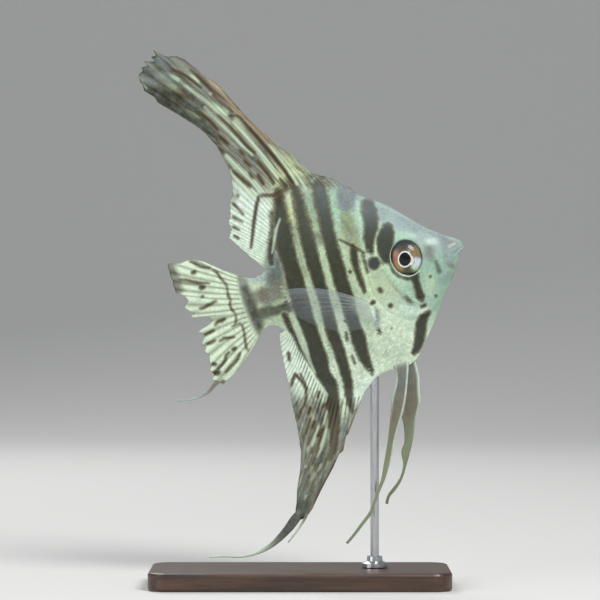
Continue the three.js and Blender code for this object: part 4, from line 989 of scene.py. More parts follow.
def marked_colour(finish, paints, ground):
    """The ground with light streaks, bars with a soft brown edge and a green gleam round it, spots and
    dashes, each with an edge that noise makes ragged."""
    ragged = finish.maths("SUBTRACT", finish.noise(1.1, 4, 0.65), 0.5)
    fine = finish.maths("SUBTRACT", finish.noise(0.45, 3, 0.6), 0.5)
    cloud = finish.noise(2.6, 4, 0.62)
    colour = finish.blend(finish.step(cloud, 0.4, 0.75, 0, 0.36), ground, rgba(paints["mist"] * 0.8))
    colour = finish.tone(colour, finish.step(finish.noise(0.7, 3, 0.55), 0.3, 0.7, 0.88, 1.08))
    bars = finish.maths("MULTIPLY_ADD", ragged, 1.15, finish.read("bars"))
    bars = finish.maths("MULTIPLY_ADD", fine, 0.35, bars)
    gleam = finish.times(finish.step(bars, -1.2, -0.4), finish.step(bars, 0.1, -0.2))
    gleam = finish.times(gleam, finish.step(cloud, 0.42, 0.62, 0, 0.3))
    colour = finish.blend(gleam, colour, rgba(paints["mint"]))
    shine = finish.step(cloud, 0.42, 0.7, 0, 0.25)
    dark = finish.blend(shine, finish.read("dark", "Color"), rgba(paints["lead"]))
    colour = finish.blend(finish.step(bars, -0.7, 0.5, 0, 0.95), colour, dark)
    edge = finish.times(finish.step(bars, -0.6, -0.05), finish.step(bars, 0.6, 0.05, 0, 0.42))
    colour = finish.blend(edge, colour, rgba(paints["rust"] * 0.35))
    lights = finish.maths("MULTIPLY_ADD", fine, 0.5, finish.read("lights"))
    colour = finish.blend(finish.step(lights, -0.5, 0.4, 0, 0.8), colour, rgba(paints["glint"]))
    spots = finish.maths("MULTIPLY_ADD", fine, 0.35, finish.read("spots"))
    dashes = finish.maths("MULTIPLY_ADD", fine, 0.4, finish.read("dashes"))
    fringe = rgba(mix(paints["rust"], paints["umber"], 0.4))
    for mark, core in ((spots, paints["olive"] * 0.4), (dashes, paints["bark"] * 0.8)):
        colour = finish.blend(finish.step(mark, -0.65, -0.05, 0, 0.4), colour, fringe)
        colour = finish.blend(finish.step(mark, -0.48, 0.36, 0, 0.92), colour, rgba(core))
    return colour


def skin_finish(paints):
    """Wet skin: the markings, fine lines between the fins' rays that are the membrane's darker tone with
    painted shade, streaks along them, and a fine grain.
    """
    finish = Finish("wet_skin")
    ray, out = finish.read("ray"), finish.read("fin")
    on_fin = finish.step(out, 0.02, 0.12)
    streak = finish.streaks(finish.times(ray, 0.9), finish.times(out, 5), 0.0, 1.0, 2)
    smoky = finish.times(finish.step(finish.read("smoky"), 0.15, 0.7, 0.05, 1), on_fin)
    ground = finish.read("ground", "Color")
    for low, high, most, name in ((0.5, 0.7, 0.75, "olive"), (0.46, 0.3, 0.45, "celadon")):
        share = finish.times(finish.step(streak, low, high, 0, most), smoky)
        ground = finish.blend(share, ground, rgba(paints[name]))
    colour = marked_colour(finish, paints, ground)
    between = finish.ray_side(ray)
    forked = finish.step(finish.ray_side(finish.times(ray, 2.0)), 0.25, 0.04)
    forked = finish.times(forked, finish.step(out, 0.3, 0.5, 0, 0.35))
    # Lines between the rays: the membrane's darker tone, with painted shade darkest midway between two rays
    lines = finish.maths("MAXIMUM", finish.step(between, 0.34, 0.02), forked)
    lines = finish.times(lines, finish.times(on_fin, finish.read("web")))
    shaded = finish.blend(1.0, colour, rgba(BETWEEN_RAYS), "MULTIPLY")
    colour = finish.blend(lines, colour, shaded)
    grain = finish.noise(0.35, 2, 0.5)
    bump = finish.bump(finish.maths("MULTIPLY_ADD", between, on_fin, grain), 0.03, 0.5)
    rough = finish.step(finish.noise(1.6, 3, 0.6), 0.3, 0.7, 0.42, 0.58)
    return finish.shade(
        Base_Color=colour, Roughness=rough, Normal=bump, Specular_IOR_Level=0.22, Coat_Weight=0.06,
        Coat_Roughness=0.2, IOR=1.4
    )


def scale_finish(paints):
    """The skin's markings on each scale, with a slightly darker rim and a tone of its own."""
    finish = Finish("scale_coat")
    colour = marked_colour(finish, paints, finish.read("ground", "Color"))
    colour = finish.blend(finish.step(finish.read("rim"), 0.6, 1.0, 0, 0.16), colour, rgba(paints["olive"]))
    colour = finish.tone(colour, finish.step(finish.read("tone"), 0, 1, 0.91, 1.07))
    return finish.shade(
        Base_Color=colour, Roughness=0.46, Normal=finish.bump(finish.noise(0.22, 2, 0.5), 0.012, 0.5),
        Specular_IOR_Level=0.18, Coat_Weight=0.05, Coat_Roughness=0.2, IOR=1.42
    )


# Scales

SCALE_ACROSS = 5  # points of one scale across
SCALE_LONG = 4  # and from its root to its free edge
SCALE_STEP = 0.62  # from one column of scales to the next, as a share of the pitch
SCALE_REACH = 1.75  # length of a scale, as a share of the pitch
SCALE_HALF = 0.62  # and its half width
CHEEK_SCALE = 0.6  # size of the gill cover's scales, as a share of the flank's
SCALE_SHIFT = 0.12  # chance shift of a root along the body, as a share of the pitch
SCALE_ROOM = 0.5  # least gap from a scale to the body's edge, in mm
FIELD = {"front": 12, "rear": 66, "bottom": -34, "top": 29}  # where roots are tried
FLANK = {"front": 21, "rear": 65, "gill": -0.3}  # where the flank keeps them
NAPE = {"s": 24, "h": 6, "slope": 0.1}  # the line on the forehead behind which they start
CHEEK = {"front": 15.5, "bottom": -15, "top": 5, "gill": 1.6, "ring": 1.45}  # and the gill cover
UNWRAP_LENGTH = 68  # body length that the unwrap spans
UNWRAP_GIRTH = 76  # and the girth
UNWRAP_MARGIN = 0.03
PATCH = 0.003  # size of one scale on the unwrap


def scale_roots(pitch):
    """Places of the scales' fronts in staggered columns: full size on the flank behind the gill cover,
    and smaller on the gill cover itself. The snout, the forehead and the eye have none, and near them
    the scales sink into the skin."""
    found = []
    for on_cheek, size in ((False, pitch), (True, CHEEK_SCALE * pitch)):
        s, h = np.meshgrid(
            np.arange(FIELD["front"], FIELD["rear"], size * SCALE_STEP),
            np.arange(FIELD["bottom"], FIELD["top"], size), indexing="ij"
        )
        h = (h + size / 2 * (np.arange(s.shape[0]) % 2)[:, None]).ravel()
        s = s.ravel()
        chance = np.sin(s * 12.9898 + h * 78.233) * 43758.5453
        chance = chance - np.floor(chance)
        s = s + (chance - 0.5) * SCALE_SHIFT * size
        room = np.minimum(along(BACK, s) - h, h - along(BELLY, s))
        behind = s + 1.8 * size
        room = np.minimum(room, np.minimum(along(BACK, behind) - h, h - along(BELLY, behind)))
        gill, ring = gill_edge(s, h), eye_ring(s, h)
        if on_cheek:
            front, bottom, top = CHEEK["front"], CHEEK["bottom"], CHEEK["top"]
            kept = (gill > CHEEK["gill"]) & (ring > CHEEK["ring"])
            kept = kept & (h < top) & (h > bottom) & (s > front)
            full = smoothstep(h, top, top - 3) * smoothstep(ring, CHEEK["ring"], CHEEK["ring"] + 0.25)
            full = full * smoothstep(s, front, front + 3) * smoothstep(h, bottom, bottom + 3)
        else:
            above, rear = h > NAPE["h"], FLANK["rear"]
            behind_nape = s - NAPE["s"] - NAPE["slope"] * (h - NAPE["h"])
            kept = np.where(above, behind_nape > 0, (gill < FLANK["gill"]) & (s > FLANK["front"]))
            kept = kept & (room > SCALE_ROOM) & (s < rear)
            full = smoothstep(np.where(above, behind_nape, 9), 0, 6) * smoothstep(s, rear, rear - 5)
        found.append(np.stack([s, h, np.full(s.shape, size), chance, full])[:, kept])
    return np.concatenate(found, 1)


def scale_mesh(side, pitch, lift):
    """Scales as closed plates: a rounded tongue, u across and v back from its root, which starts at the
    skin and rises evenly towards its free edge, so that it lies over the next ones, and one face below."""
    s0, h0, size, tone, full = (x[:, None, None] for x in scale_roots(pitch))
    u = np.linspace(-1, 1, SCALE_ACROSS)[None, None, :]
    v = np.linspace(0, 1, SCALE_LONG)[None, :, None]
    wide = mix(0.8, 1.0, smoothstep(v, 0, 0.5)) * mix(1.0, 0.62, smoothstep(v, 0.6, 1))
    slope = -0.12 * smoothstep(h0, 6, 26) + 0.1 * smoothstep(-h0, 8, 28)
    back = v * (1 - 0.2 * u**2) * SCALE_REACH * size
    beside = u * wide * SCALE_HALF * size
    s = s0 + back * np.cos(slope) - beside * np.sin(slope)
    h = h0 + back * np.sin(slope) + beside * np.cos(slope)
    rise = lift * size * mix(-0.3, mix(-0.3, 1.0, v) + 0.16 * (1 - u**2), full)
    y = side * skin_surface(s, h, rise)
    points = to_world(s, h, y + lean(s, h))
    count, cells = len(points), SCALE_ACROSS * SCALE_LONG
    one = grid_faces(SCALE_LONG, SCALE_ACROSS)
    number = np.arange(cells).reshape(SCALE_LONG, SCALE_ACROSS)
    rim = np.concatenate([number[0], number[1:, -1], number[-1, -2::-1], number[-2:0:-1, 0]])
    start = (np.arange(count) * cells)[:, None]
    tops = (start[:, :, None] + one[None]).reshape(-1, 4)
    under = start + rim[::-1][None]
    if side > 0:
        tops, under = tops[:, ::-1], under[:, ::-1]
    spread = [np.broadcast_to(x, s.shape).ravel() for x in (s0, h0, tone, u, v, wide)]
    root_s, root_h, tone, u, v, wide = spread
    place = [root_s / UNWRAP_LENGTH + PATCH * (v - 0.5), girth_place(root_s, root_h) + PATCH * u / 2]
    place = UNWRAP_MARGIN + (1 - 2 * UNWRAP_MARGIN) * np.stack(place, -1)
    fields = {"s": s.ravel(), "h": h.ravel(), "tone": tone, "rim": np.maximum(np.abs(u) * wide, v)}
    return points.reshape(-1, 3), tops.tolist() + under.tolist(), fields, place


def girth_place(s, h):
    """Where (s, h) lies on the skin unrolled sideways from belly to back, 0 to 1: the arc length along
    the girth from the belly, over the longest girth, with the mid-line held level."""
    t = np.linspace(0, 1, 25)
    heights = h[:, None] * t[None]
    width, _ = half_width(np.repeat(s[:, None], len(t), 1), heights)
    arc = np.hypot(np.diff(heights, axis=1), np.diff(width, axis=1)).sum(1)
    return 0.5 + np.sign(h) * arc / UNWRAP_GIRTH


def make_scales(paints, sizes):
    """The scales of each side as one piece, unwrapped by the places of their roots."""
    finish = scale_finish(paints)
    for name, side in (("scales_right", -1), ("scales_left", 1)):
        points, polygons, fields, place = scale_mesh(side, sizes.scale_pitch, sizes.scale_lift)
        numbers, colours = markings(fields["s"], fields["h"], paints)
        numbers |= {"tone": fields["tone"], "rim": fields["rim"]}
        piece = add_piece(name, points, polygons, numbers, colours, finish)
        piece.data.set_sharp_from_angle(angle=1.0)
        unwrap = piece.data.uv_layers.new(name="OFBake")
        loops = np.empty(len(piece.data.loops), np.int32)
        piece.data.loops.foreach_get("vertex_index", loops)
        unwrap.uv.foreach_set("vector", place[loops].astype(np.float32).ravel())


# Body and eyes

FLESH = (
    "head", "lower_jaw", "gill_cover_right", "gill_cover_left", "trunk", "tail_stalk", "dorsal_fin",
    "anal_fin", "caudal_fin",
)


def make_skin(paints):
    """The body and its unpaired fins as one closed skin."""
    points, polygons, values = two_sided(skin_blocks())
    numbers, colours = markings(values["s"], values["h"], paints)
    low = smoothstep(values["h"], -8, -20) * smoothstep(values["s"], 66, 62)
    web = 0.4 + 0.5 * low * smoothstep(values["fin"], 0.5, 0.2) + 0.25 * smoothstep(values["s"], 66, 70)
    numbers |= {"ray": values["ray"], "fin": values["fin"], "web": web}
    add_piece("skin", points, polygons, numbers, colours, skin_finish(paints), FLESH)


# Iris: (paint, s, h, reach), mixed like the ground

IRIS_PAINTS = {
    "night": paint(54, 60, 68), "salmon": paint(160, 104, 80), "ochre": paint(178, 140, 96),
    "moss": paint(74, 74, 58), "cream": paint(196, 210, 180), "sky": paint(196, 210, 222),
    "clay": paint(138, 116, 84), "bronze": paint(100, 88, 64),
}
EYE_PAINTS = {
    "ring": paint(212, 222, 214), "glow": paint(198, 140, 74), "pupil": paint(16, 15, 18),
    "lid": paint(60, 62, 58), "fibre": (0.035, 0.032, 0.03),
}
GLOW = {"s": 15.9, "h": -0.1}  # warm gap in the pale ring, in front of the pupil
IRIS = (
    # The night paints across the top are painted shade of the eye's rim
    ("night", 18.4, 6.2, 1.5), ("night", 15.8, 5.6, 1.3), ("night", 20.4, 5, 0.7),
    ("salmon", 21.4, 3.9, 0.9), ("salmon", 21.7, 2.2, 1), ("ochre", 21.5, 0, 0.9),
    ("ochre", 20.8, -1.8, 0.8), ("moss", 19.2, -2.6, 1), ("moss", 17.4, -3.4, 0.7),
    # cream and sky, low in front, are painted light
    ("cream", 15.6, -2.9, 0.9), ("sky", 14.9, -0.7, 0.8), ("clay", 13.6, 1.4, 0.8),
    ("clay", 14.2, 3.2, 0.9), ("bronze", 16, 3.8, 1), ("bronze", 18.6, 4.4, 0.9),
    ("clay", 15.4, 1.8, 0.6),
)


def pupil_ring(s, h):
    """1 on the oval of the pupil, less inside it and more outside."""
    cos, sin = math.cos(PUPIL["turn"]), math.sin(PUPIL["turn"])
    across = (s - PUPIL["s"]) * cos + (h - PUPIL["h"]) * sin
    up = (h - PUPIL["h"]) * cos - (s - PUPIL["s"]) * sin
    return np.hypot(across / PUPIL["along"], up / PUPIL["tall"])


def eye_colour(s, h):
    """Rings round the pupil and a clouded iris: red-brown behind, dark above with the rim's shade painted in,
    and pale below in front with painted light.
    """
    colours = {name: np.array(colour) for name, colour in IRIS_PAINTS.items()}
    colour = bell_mean(s, h, IRIS, colours, 1.15, np.zeros(3))
    pupil = pupil_ring(s, h)
    glow = smoothstep(np.hypot(s - GLOW["s"], h - GLOW["h"]), 1.9, 0.9)
    for share, tint in (
        (smoothstep(pupil, 1.27 + 0.3 * glow, 1.16 + 0.22 * glow), "ring"),
        (glow * smoothstep(pupil, 1.24, 1.1), "glow"),
        (smoothstep(pupil, 1.06, 0.98), "pupil"),
        (0.55 * hump(eye_ring(s, h) - 0.93, 0.05), "lid"),
    ):
        colour = mix(colour, np.array(EYE_PAINTS[tint]), share[:, None])
    return colour


def eye_finish():
    """Wet gloss over an iris with dark fibres that run out from the pupil."""
    finish = Finish("eye_gloss")
    fibres = finish.noise(0.28, 3, 0.6)
    streaks = finish.streaks(finish.read("out"), finish.read("east"), finish.read("north"), 1.3, 3)
    shadow = finish.maths(
        "MAXIMUM", finish.step(streaks, 0.45, 0.7, 0, 0.5), finish.step(fibres, 0.3, 0.7, 0, 0.2)
    )
    shadow = finish.times(shadow, finish.step(finish.read("out"), 3.6, 4.4))
    return finish.shade(
        Base_Color=finish.blend(shadow, finish.read("iris", "Color"), rgba(EYE_PAINTS["fibre"])),
        Roughness=finish.step(fibres, 0.2, 0.8, 0.24, 0.38), Specular_IOR_Level=0.25,
        Coat_Weight=0.35, Coat_Roughness=0.03, IOR=1.38
    )


def make_eyeballs():
    """Each eye as a closed half ellipsoid that bulges a little over the pupil."""
    material = eye_finish()
    turn = np.linspace(0, 2 * np.pi, EYE_GRID[0])[None, :]
    out = np.linspace(0, 1, EYE_GRID[1])[:, None]
    s = EYE["s"] + out * EYE["along"] * np.cos(turn)
    h = EYE["h"] + out * EYE["tall"] * np.sin(turn)
    pupil = pupil_ring(s, h)
    dome = EYE["across"] * np.sqrt(1 - out**2)
    bulge = 0.1 * smoothstep(pupil, 1.05, 0.4) - 0.07 * hump(pupil - 1.12, 0.08)
    bulge = bulge + 0.05 * hump(pupil - 1.3, 0.12)
    front = EYE["y"] + dome + bulge * (1 - out**4)
    back = EYE["y"] - 0.5 * dome
    quads = grid_faces(*s.shape)
    faces = np.concatenate([quads, quads[:, ::-1] + s.size])
    for name, side in (("right", -1), ("left", 1)):
        points = np.concatenate([to_world(s, h, side * y).reshape(-1, 3) for y in (front, back)])
        places = {"s": np.tile(s.ravel(), 2), "h": np.tile(h.ravel(), 2)}
        points, polygons, places = welded(points, faces, places)
        s1, h1 = places["s"], places["h"]
        angle = np.arctan2(h1 - PUPIL["h"], s1 - PUPIL["s"])
        rings = {"out": 3 * pupil_ring(s1, h1), "east": np.cos(angle), "north": np.sin(angle)}
        colours = {"iris": eye_colour(s1, h1)}
        add_piece(f"eyeball_{name}", points, polygons, rings, colours, material, (f"eye_{name}",))


def make_eye_rims(paints):
    """The fold of skin round each eye: a tube of uneven thickness along the oval."""
    finish = Finish("eye_rim_skin")
    grain = finish.noise(0.4, 3, 0.6)
    share = finish.step(grain, 0.3, 0.7, 0, 0.3)
    colour = finish.blend(share, finish.read("rim", "Color"), rgba(paints["slate"]))
    material = finish.shade(
        Base_Color=colour, Roughness=finish.step(grain, 0.3, 0.7, 0.22, 0.36), Coat_Weight=0.6,
        Coat_Roughness=0.08, Normal=finish.bump(grain, 0.02, 0.5)
    )
    around = np.linspace(0, 2 * np.pi, RIM_GRID[0])[:, None]
    tube = np.linspace(0, 2 * np.pi, RIM_GRID[1])[None, :]
    thick = 0.14 + 0.04 * np.cos(around + 1.2)
    grow = 1.03 + thick / 5 * np.cos(tube)
    s = EYE["s"] + EYE["along"] * grow * np.cos(around)
    h = EYE["h"] + EYE["tall"] * grow * np.sin(around)
    level, _ = half_width(EYE["s"] + 5.3 * np.cos(around), EYE["h"] + 6 * np.sin(around))
    y = level + 0.02 + thick * 0.9 * np.sin(tube)
    ahead = smoothstep(np.cos(around - 2.3), -0.7, 0.5) + 0 * tube
    colour = mix(paints["mint"], paints["cheek"] * 0.9, ahead.reshape(-1, 1))
    for name, side in (("right", -1), ("left", 1)):
        points = to_world(s, h, side * y).reshape(-1, 3)
        points, polygons, values = welded(points, grid_faces(*s.shape), {"rim": colour})
        add_piece(f"eye_rim_{name}", points, polygons, {}, values, material)


# Paired fins and threads


def soft_fin_finish(name, paints, clear):
    """Fin membrane on rays: pale rays, a darker membrane that lets some light through if clear."""
    finish = Finish(name)
    ray = finish.read("ray")
    on_ray = finish.step(finish.ray_side(ray), 0.3, 0.48)
    cloud = finish.noise(1.8, 3, 0.6)
    share = finish.step(cloud, 0.3, 0.7, 0, 0.35)
    membrane = finish.blend(share, finish.read("ground", "Color"), rgba(paints["smoke"]))
    ray_share, ray_paint, coat = (0.25, "mist", 0.1) if clear else (0.04, "cream", 0.2)
    finish.shade(
        Base_Color=finish.blend(finish.times(on_ray, ray_share), membrane, rgba(paints[ray_paint])),
        Roughness=finish.step(cloud, 0.3, 0.7, 0.3, 0.45), Normal=finish.bump(on_ray, 0.03, 0.4),
        Coat_Weight=coat, Coat_Roughness=0.2, Specular_IOR_Level=0.2
    )
    if clear:
        out = finish.read("fin")
        veins = finish.times(finish.step(out, 0.25, 0.8, 0.14, 0.04), finish.step(ray, 3, 9, 1, 0.4))
        sheer = finish.maths("MULTIPLY_ADD", on_ray, veins, finish.step(cloud, 0.3, 0.7, 0.1, 0.16))
        sheer = finish.times(sheer, finish.step(out, 0.6, 1.0, 1, 0.6))
        sheer = finish.times(sheer, finish.step(ray, 3, 9, 1.15, 0.6))
        sheer = finish.maths("ADD", sheer, finish.step(ray, 2.2, 0, 0, 0.12))
        finish.shade(Alpha=finish.maths("ADD", sheer, finish.step(out, 0.28, 0.0, 0, 0.4)))
    return finish.material


def pectoral_block(side):
    """The pectoral fin: rays fan from a short root on the flank and sweep back, away from the body."""
    root = PECTORAL_ROOT
    columns, rows = PECTORAL_GRID
    place = np.linspace(0, 1, columns)
    start = [0 * place + root["s"], mix(root["top"], root["bottom"], place)]
    ray = place * root["rays"]
    tip, slope = ray_ends(PECTORAL_RAYS, place)
    tip = [t - (t - r) * 0.008 * (1 - ridges(ray)) for t, r in zip(tip, start)]
    s, h = ray_curves(start, tip, slope, rows, 0.58)
    v = np.linspace(0, 1, rows + 1)[:, None] + 0 * s
    middle = (root["top"] + root["bottom"]) / 2
    level, _ = half_width(np.array([root["s"]]), np.array([middle]), 0)
    out = level - root["sunk"] + root["splay"] * (s - root["s"]) + 1.1 * (1 - np.exp(root["s"] - s))
    out = out + 0.25 * np.sin(3.2 * v + 2.5 * place) * v
    thick = PECTORAL_HALF
    half = thick["membrane"] + thick["ray"] * ridges(ray) * mix(1, 0.4, v) + thick["root"] * np.exp(-v / 0.1)
    half = half * closing(place, 0, 1, 0.04)
    half = half * np.sqrt(np.clip(1 - v, 0, 0.04) / 0.04)
    half[0] = 0
    return {"s": s, "h": h, "y": side * out, "half": half, "ray": ray + 0 * s, "fin": v}


def pelvic_block(fin, side):
    """A pelvic fin: a ribbon between its front and rear edge, with a stout ray along the front."""
    fall = np.linspace(0, 1, PELVIC_GRID[0])
    share = np.linspace(0, 1, PELVIC_GRID[1])[:, None]
    front, rear = columns_along(fin["front"], fall), columns_along(fin["rear"], fall)
    s, h = (mix(f, r, share) for f, r in zip(front, rear))
    y = side * mix(PELVIC_SPREAD["root"], PELVIC_SPREAD["tip"], fall**1.3) + 0 * s
    ray = share * PELVIC_RAY_COUNT + 0 * s
    half = PELVIC_HALF["membrane"] + PELVIC_HALF["ray"] * ridges(ray)
    half = half + PELVIC_HALF["front_ray"] * hump(share - 0.08, 0.09)
    half = half * mix(1.0, 0.75, fall) * closing(share, 0, 1, 0.07) * closing(fall, 0, 1, 0.05)
    return {"s": s, "h": h, "y": y, "half": half, "ray": ray, "fin": 0 * s + fall}


def pelvic_colour(fall, across, paints):
    """Grey below a pale root, then brown, then olive, with painted highlights as pale streaks along the front
    and rear edge.
    """
    tint = np.repeat(paints["cream"][None], len(fall), 0)
    for share, colour in (
        (smoothstep(fall, 0.02, 0.08), mix(paints["slate"], paints["smoke"], 0.5) * 0.66),
        (smoothstep(fall, 0.1, 0.25), paints["umber"] * 0.75),
        (0.9 * smoothstep(fall, 0.25, 0.6), paints["moss"] * 0.76),
        # Painted highlights: pale streaks along the front edge and the rear edge
        (0.75 * hump(across - 0.06, 0.09) * smoothstep(fall, 0.6, 0.4), paints["white"]),
        (0.7 * hump(across - 0.95, 0.08) * hump(fall - 0.15, 0.12), paints["white"]),
        (0.5 * hump(across - 0.5, 0.3) * hump(fall - 0.3, 0.1), paints["umber"] * 0.9),
    ):
        tint = mix(tint, colour, share[:, None])
    return tint


def make_paired_fins(paints):
    """The pectoral fins as clear fans and the pelvic fins as ribbons."""
    clear = soft_fin_finish("clear_membrane", paints, True)
    ribbed = soft_fin_finish("ribbed_membrane", paints, False)
    for name, side, pelvic in (("right", -1, PELVIC_RIGHT), ("left", 1, PELVIC_LEFT)):
        shell = two_sided([pectoral_block(side)])
        share = smoothstep(shell[2]["fin"], 0.05, 0.35)[:, None]
        tint = mix(paints["white"] * 0.9, paints["veil"], share)
        add_fin("pectoral", name, shell, tint, clear)
        shell = two_sided([pelvic_block(pelvic, side)])
        tint = pelvic_colour(shell[2]["fin"], shell[2]["ray"] / PELVIC_RAY_COUNT, paints)
        add_fin("pelvic", name, shell, tint, ribbed)


def add_fin(kind, name, shell, tint, material):
    """One paired fin in the place of its node."""
    points, polygons, values = shell
    numbers = {key: values[key] for key in ("ray", "fin")}
    node = f"{kind}_fin_{name}"
    add_piece(f"{kind}_{name}", points, polygons, numbers, {"ground": tint}, material, (node,))


def make_threads(paints):
    """The long threads that the fins end in: flat at the root, in the fin's own plane, and round beyond."""
    finish = Finish("fin_thread")
    joints = finish.noise(0.7, 3, 0.6)
    share = finish.step(joints, 0.35, 0.7, 0, 0.3)
    colour = finish.blend(share, finish.read("ground", "Color"), rgba(paints["smoke"]))
    material = finish.shade(
        Base_Color=colour, Roughness=finish.step(joints, 0.3, 0.7, 0.32, 0.46),
        Normal=finish.bump(joints, 0.05, 0.5), Coat_Weight=0.3, Coat_Roughness=0.15
    )
    turn = np.linspace(0, 2 * np.pi, THREAD_GRID[1])[None, :]
    for name, (root_paint, tip_paint, path) in THREADS.items():
        place = np.linspace(0, 1, THREAD_GRID[0] * len(path))
        s, h, y, thin, wide = columns_along(path, place)
        length = np.hypot(np.gradient(s), np.gradient(h))
        ds, dh = np.gradient(s) / length, np.gradient(h) / length
        y = mix(lean(s, h), y, smoothstep(place, 0.15, 0.5))
        close = closing(place, 0, 1, 0.02)
        up = (wide * close)[:, None] * np.cos(turn)
        across = (thin * close)[:, None] * np.sin(turn)
        points = to_world(s[:, None] - dh[:, None] * up, h[:, None] + ds[:, None] * up, y[:, None] + across)
        tint = mix(paints[root_paint], paints[tip_paint], smoothstep(place, 0.3, 0.65)[:, None])
        values = {"ground": np.repeat(tint, turn.size, 0)}
        points, polygons, values = welded(points.reshape(-1, 3), grid_faces(len(place), turn.size), values)
        add_piece(name, points, polygons, {}, values, material)


# Stand and studio


def make_stand():
    """The stand's solids keep their shape, and get stained wood and brushed steel."""
    paints = {name: rgba(colour) for name, colour in STAND_PAINTS.items()}
    wood = Finish("stained_wood")
    grain = wood.noise(1.6, 6, 0.65, (0.06, 1, 1))
    pores = wood.noise(0.5, 2, 0.6, (0.04, 1, 1))
    colour = wood.blend(wood.step(grain, 0.3, 0.7), paints["dark_wood"], paints["light_wood"])
    colour = wood.blend(wood.step(pores, 0.6, 0.75, 0, 0.6), colour, paints["pores"])
    wood.shade(
        Base_Color=colour, Roughness=wood.step(grain, 0.2, 0.8, 0.36, 0.5), Coat_Weight=0.25,
        Coat_Roughness=0.25, Normal=wood.bump(pores, 0.04, 0.4)
    )
    steel = Finish("brushed_steel")
    lines = steel.noise(0.18, 3, 0.6, (1, 1, 0.03))
    steel.shade(
        Base_Color=steel.blend(lines, paints["dark_steel"], paints["light_steel"]), Metallic=1.0,
        Roughness=steel.step(lines, 0.3, 0.7, 0.24, 0.38), Normal=steel.bump(lines, 0.01, 0.3)
    )
    for node, finish in (("stand_base", wood), ("stand_ferrule", steel), ("stand_rod", steel)):
        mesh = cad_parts[node].data
        mesh.materials.clear()
        mesh.materials.append(finish.material)


FLOOR_REACH = 2.2  # half the floor's width, and how far it comes forward
BEND_START = 0.9  # where the floor starts to curve up
BEND_RADIUS = 1.2
BACKDROP_TOP = 3.2
LIT_POINT = (0.0, 0.0, 0.09)

# Lamps: (name, place, diameter), all in metres

LAMPS = (
    ("key", (0.45, -0.75, 0.75), 0.45),
    ("fill", (-0.7, -0.6, 0.35), 0.6),
    ("back", (-0.3, 0.7, 0.7), 0.5),
)
SENSOR = 36  # width of the camera's sensor in mm


def make_floor():
    """A pale sheet that lies flat and curves up behind in a quarter circle."""
    across = np.linspace(-FLOOR_REACH, FLOOR_REACH, 5)[None, :]
    turn = np.linspace(0, np.pi / 2, 25)
    bend = BEND_START + BEND_RADIUS * np.sin(turn), BEND_RADIUS * (1 - np.cos(turn))
    y = np.concatenate([[-FLOOR_REACH, 0.0], bend[0], [BEND_START + BEND_RADIUS]])[:, None]
    z = np.concatenate([[0.0, 0.0], bend[1], [BACKDROP_TOP]])[:, None]
    points = np.stack([across + 0 * y, y + 0 * across, z + 0 * across], -1)
    mesh = bpy.data.meshes.new("studio_floor")
    mesh.from_pydata(points.reshape(-1, 3).tolist(), [], grid_faces(len(y), across.size).tolist())
    mesh.shade_smooth()
    paper = Finish("studio_paper")
    mesh.materials.append(paper.shade(Base_Color=rgba(FLOOR_PAINT), Roughness=0.9))
    return bpy.data.objects.new("studio_floor", mesh)


def lamp(name, place, size, watts):
    """A round soft lamp that looks at the lit point."""
    light = bpy.data.lights.new(name, "AREA")
    light.shape = "DISK"
    light.size = size
    light.energy = watts
    holder = bpy.data.objects.new(name, light)
    towards = np.array(LIT_POINT) - np.array(place)
    holder.location = place
    holder.rotation_euler = (
        math.pi / 2 + math.atan2(towards[2], math.hypot(towards[0], towards[1])), 0,
        math.atan2(towards[1], towards[0]) - math.pi / 2,
    )
    return holder


def make_studio(scene, studio):
    """A pale floor that curves up into a backdrop, three soft lamps and a level camera."""
    floor = make_floor()
    scene.collection.objects.link(floor)
    for name, place, size in LAMPS:
        scene.collection.objects.link(lamp(f"{name}_light", place, size, getattr(studio, name)))
    world = bpy.data.worlds.new("studio_air")
    world.use_nodes = True
    background = world.node_tree.nodes["Background"]
    background.inputs["Color"].default_value = rgba(AIR_PAINT)
    background.inputs["Strength"].default_value = studio.air
    scene.world = world
    scene.view_settings.view_transform = "Standard"
    lens = bpy.data.cameras.new("camera")
    lens.sensor_width = SENSOR
    lens.lens = SENSOR * studio.distance / (studio.field * MM)
    lens.clip_start = 0.01
    camera = bpy.data.objects.new("camera", lens)
    camera.location = (0, -studio.distance, studio.eye_level * MM)
    camera.rotation_euler = (math.pi / 2, 0, 0)
    scene.collection.objects.link(camera)
    scene.camera = camera


# Add-on


def paint_property(label, colour):
    """A colour that the user may change."""
    return FloatVectorProperty(
        name=label.split(",")[0], description=label, default=paint(*colour), min=0, max=1, subtype="COLOR"
    )


class AngelfishPaints(bpy.types.PropertyGroup):
    """The fish's paints."""

    __annotations__ = {name: paint_property(*value) for name, value in PAINTS.items()}


class AngelfishSizes(bpy.types.PropertyGroup):
    """Sizes of the scales."""

    scale_pitch: FloatProperty(
        name="Scale pitch", description="Height of one row of scales, in mm", default=1.1, min=0.6, max=3
    )
    scale_lift: FloatProperty(
        name="Scale lift", description="How far a scale's free edge stands up, as a share of its size",
        default=0.08, min=0, max=0.2, subtype="FACTOR"
    )


class AngelfishStudio(bpy.types.PropertyGroup):
    """Lamps and camera."""

    key: FloatProperty(name="Key light", description="Power of the front lamp", default=9.5, unit="POWER")
    fill: FloatProperty(name="Fill light", description="Power of the side lamp", default=3.2, unit="POWER")
    back: FloatProperty(name="Back light", description="Power of the rear lamp", default=3.4, unit="POWER")
    air: FloatProperty(name="Air", description="Strength of the even light all round", default=0.26)
    distance: FloatProperty(
        name="Camera distance", description="From the camera to the fish", default=0.9, unit="LENGTH"
    )
    field: FloatProperty(name="Field", description="Width of the view at the fish, in mm", default=180)
    eye_level: FloatProperty(name="Eye level", description="Height of the camera, in mm", default=85.8)


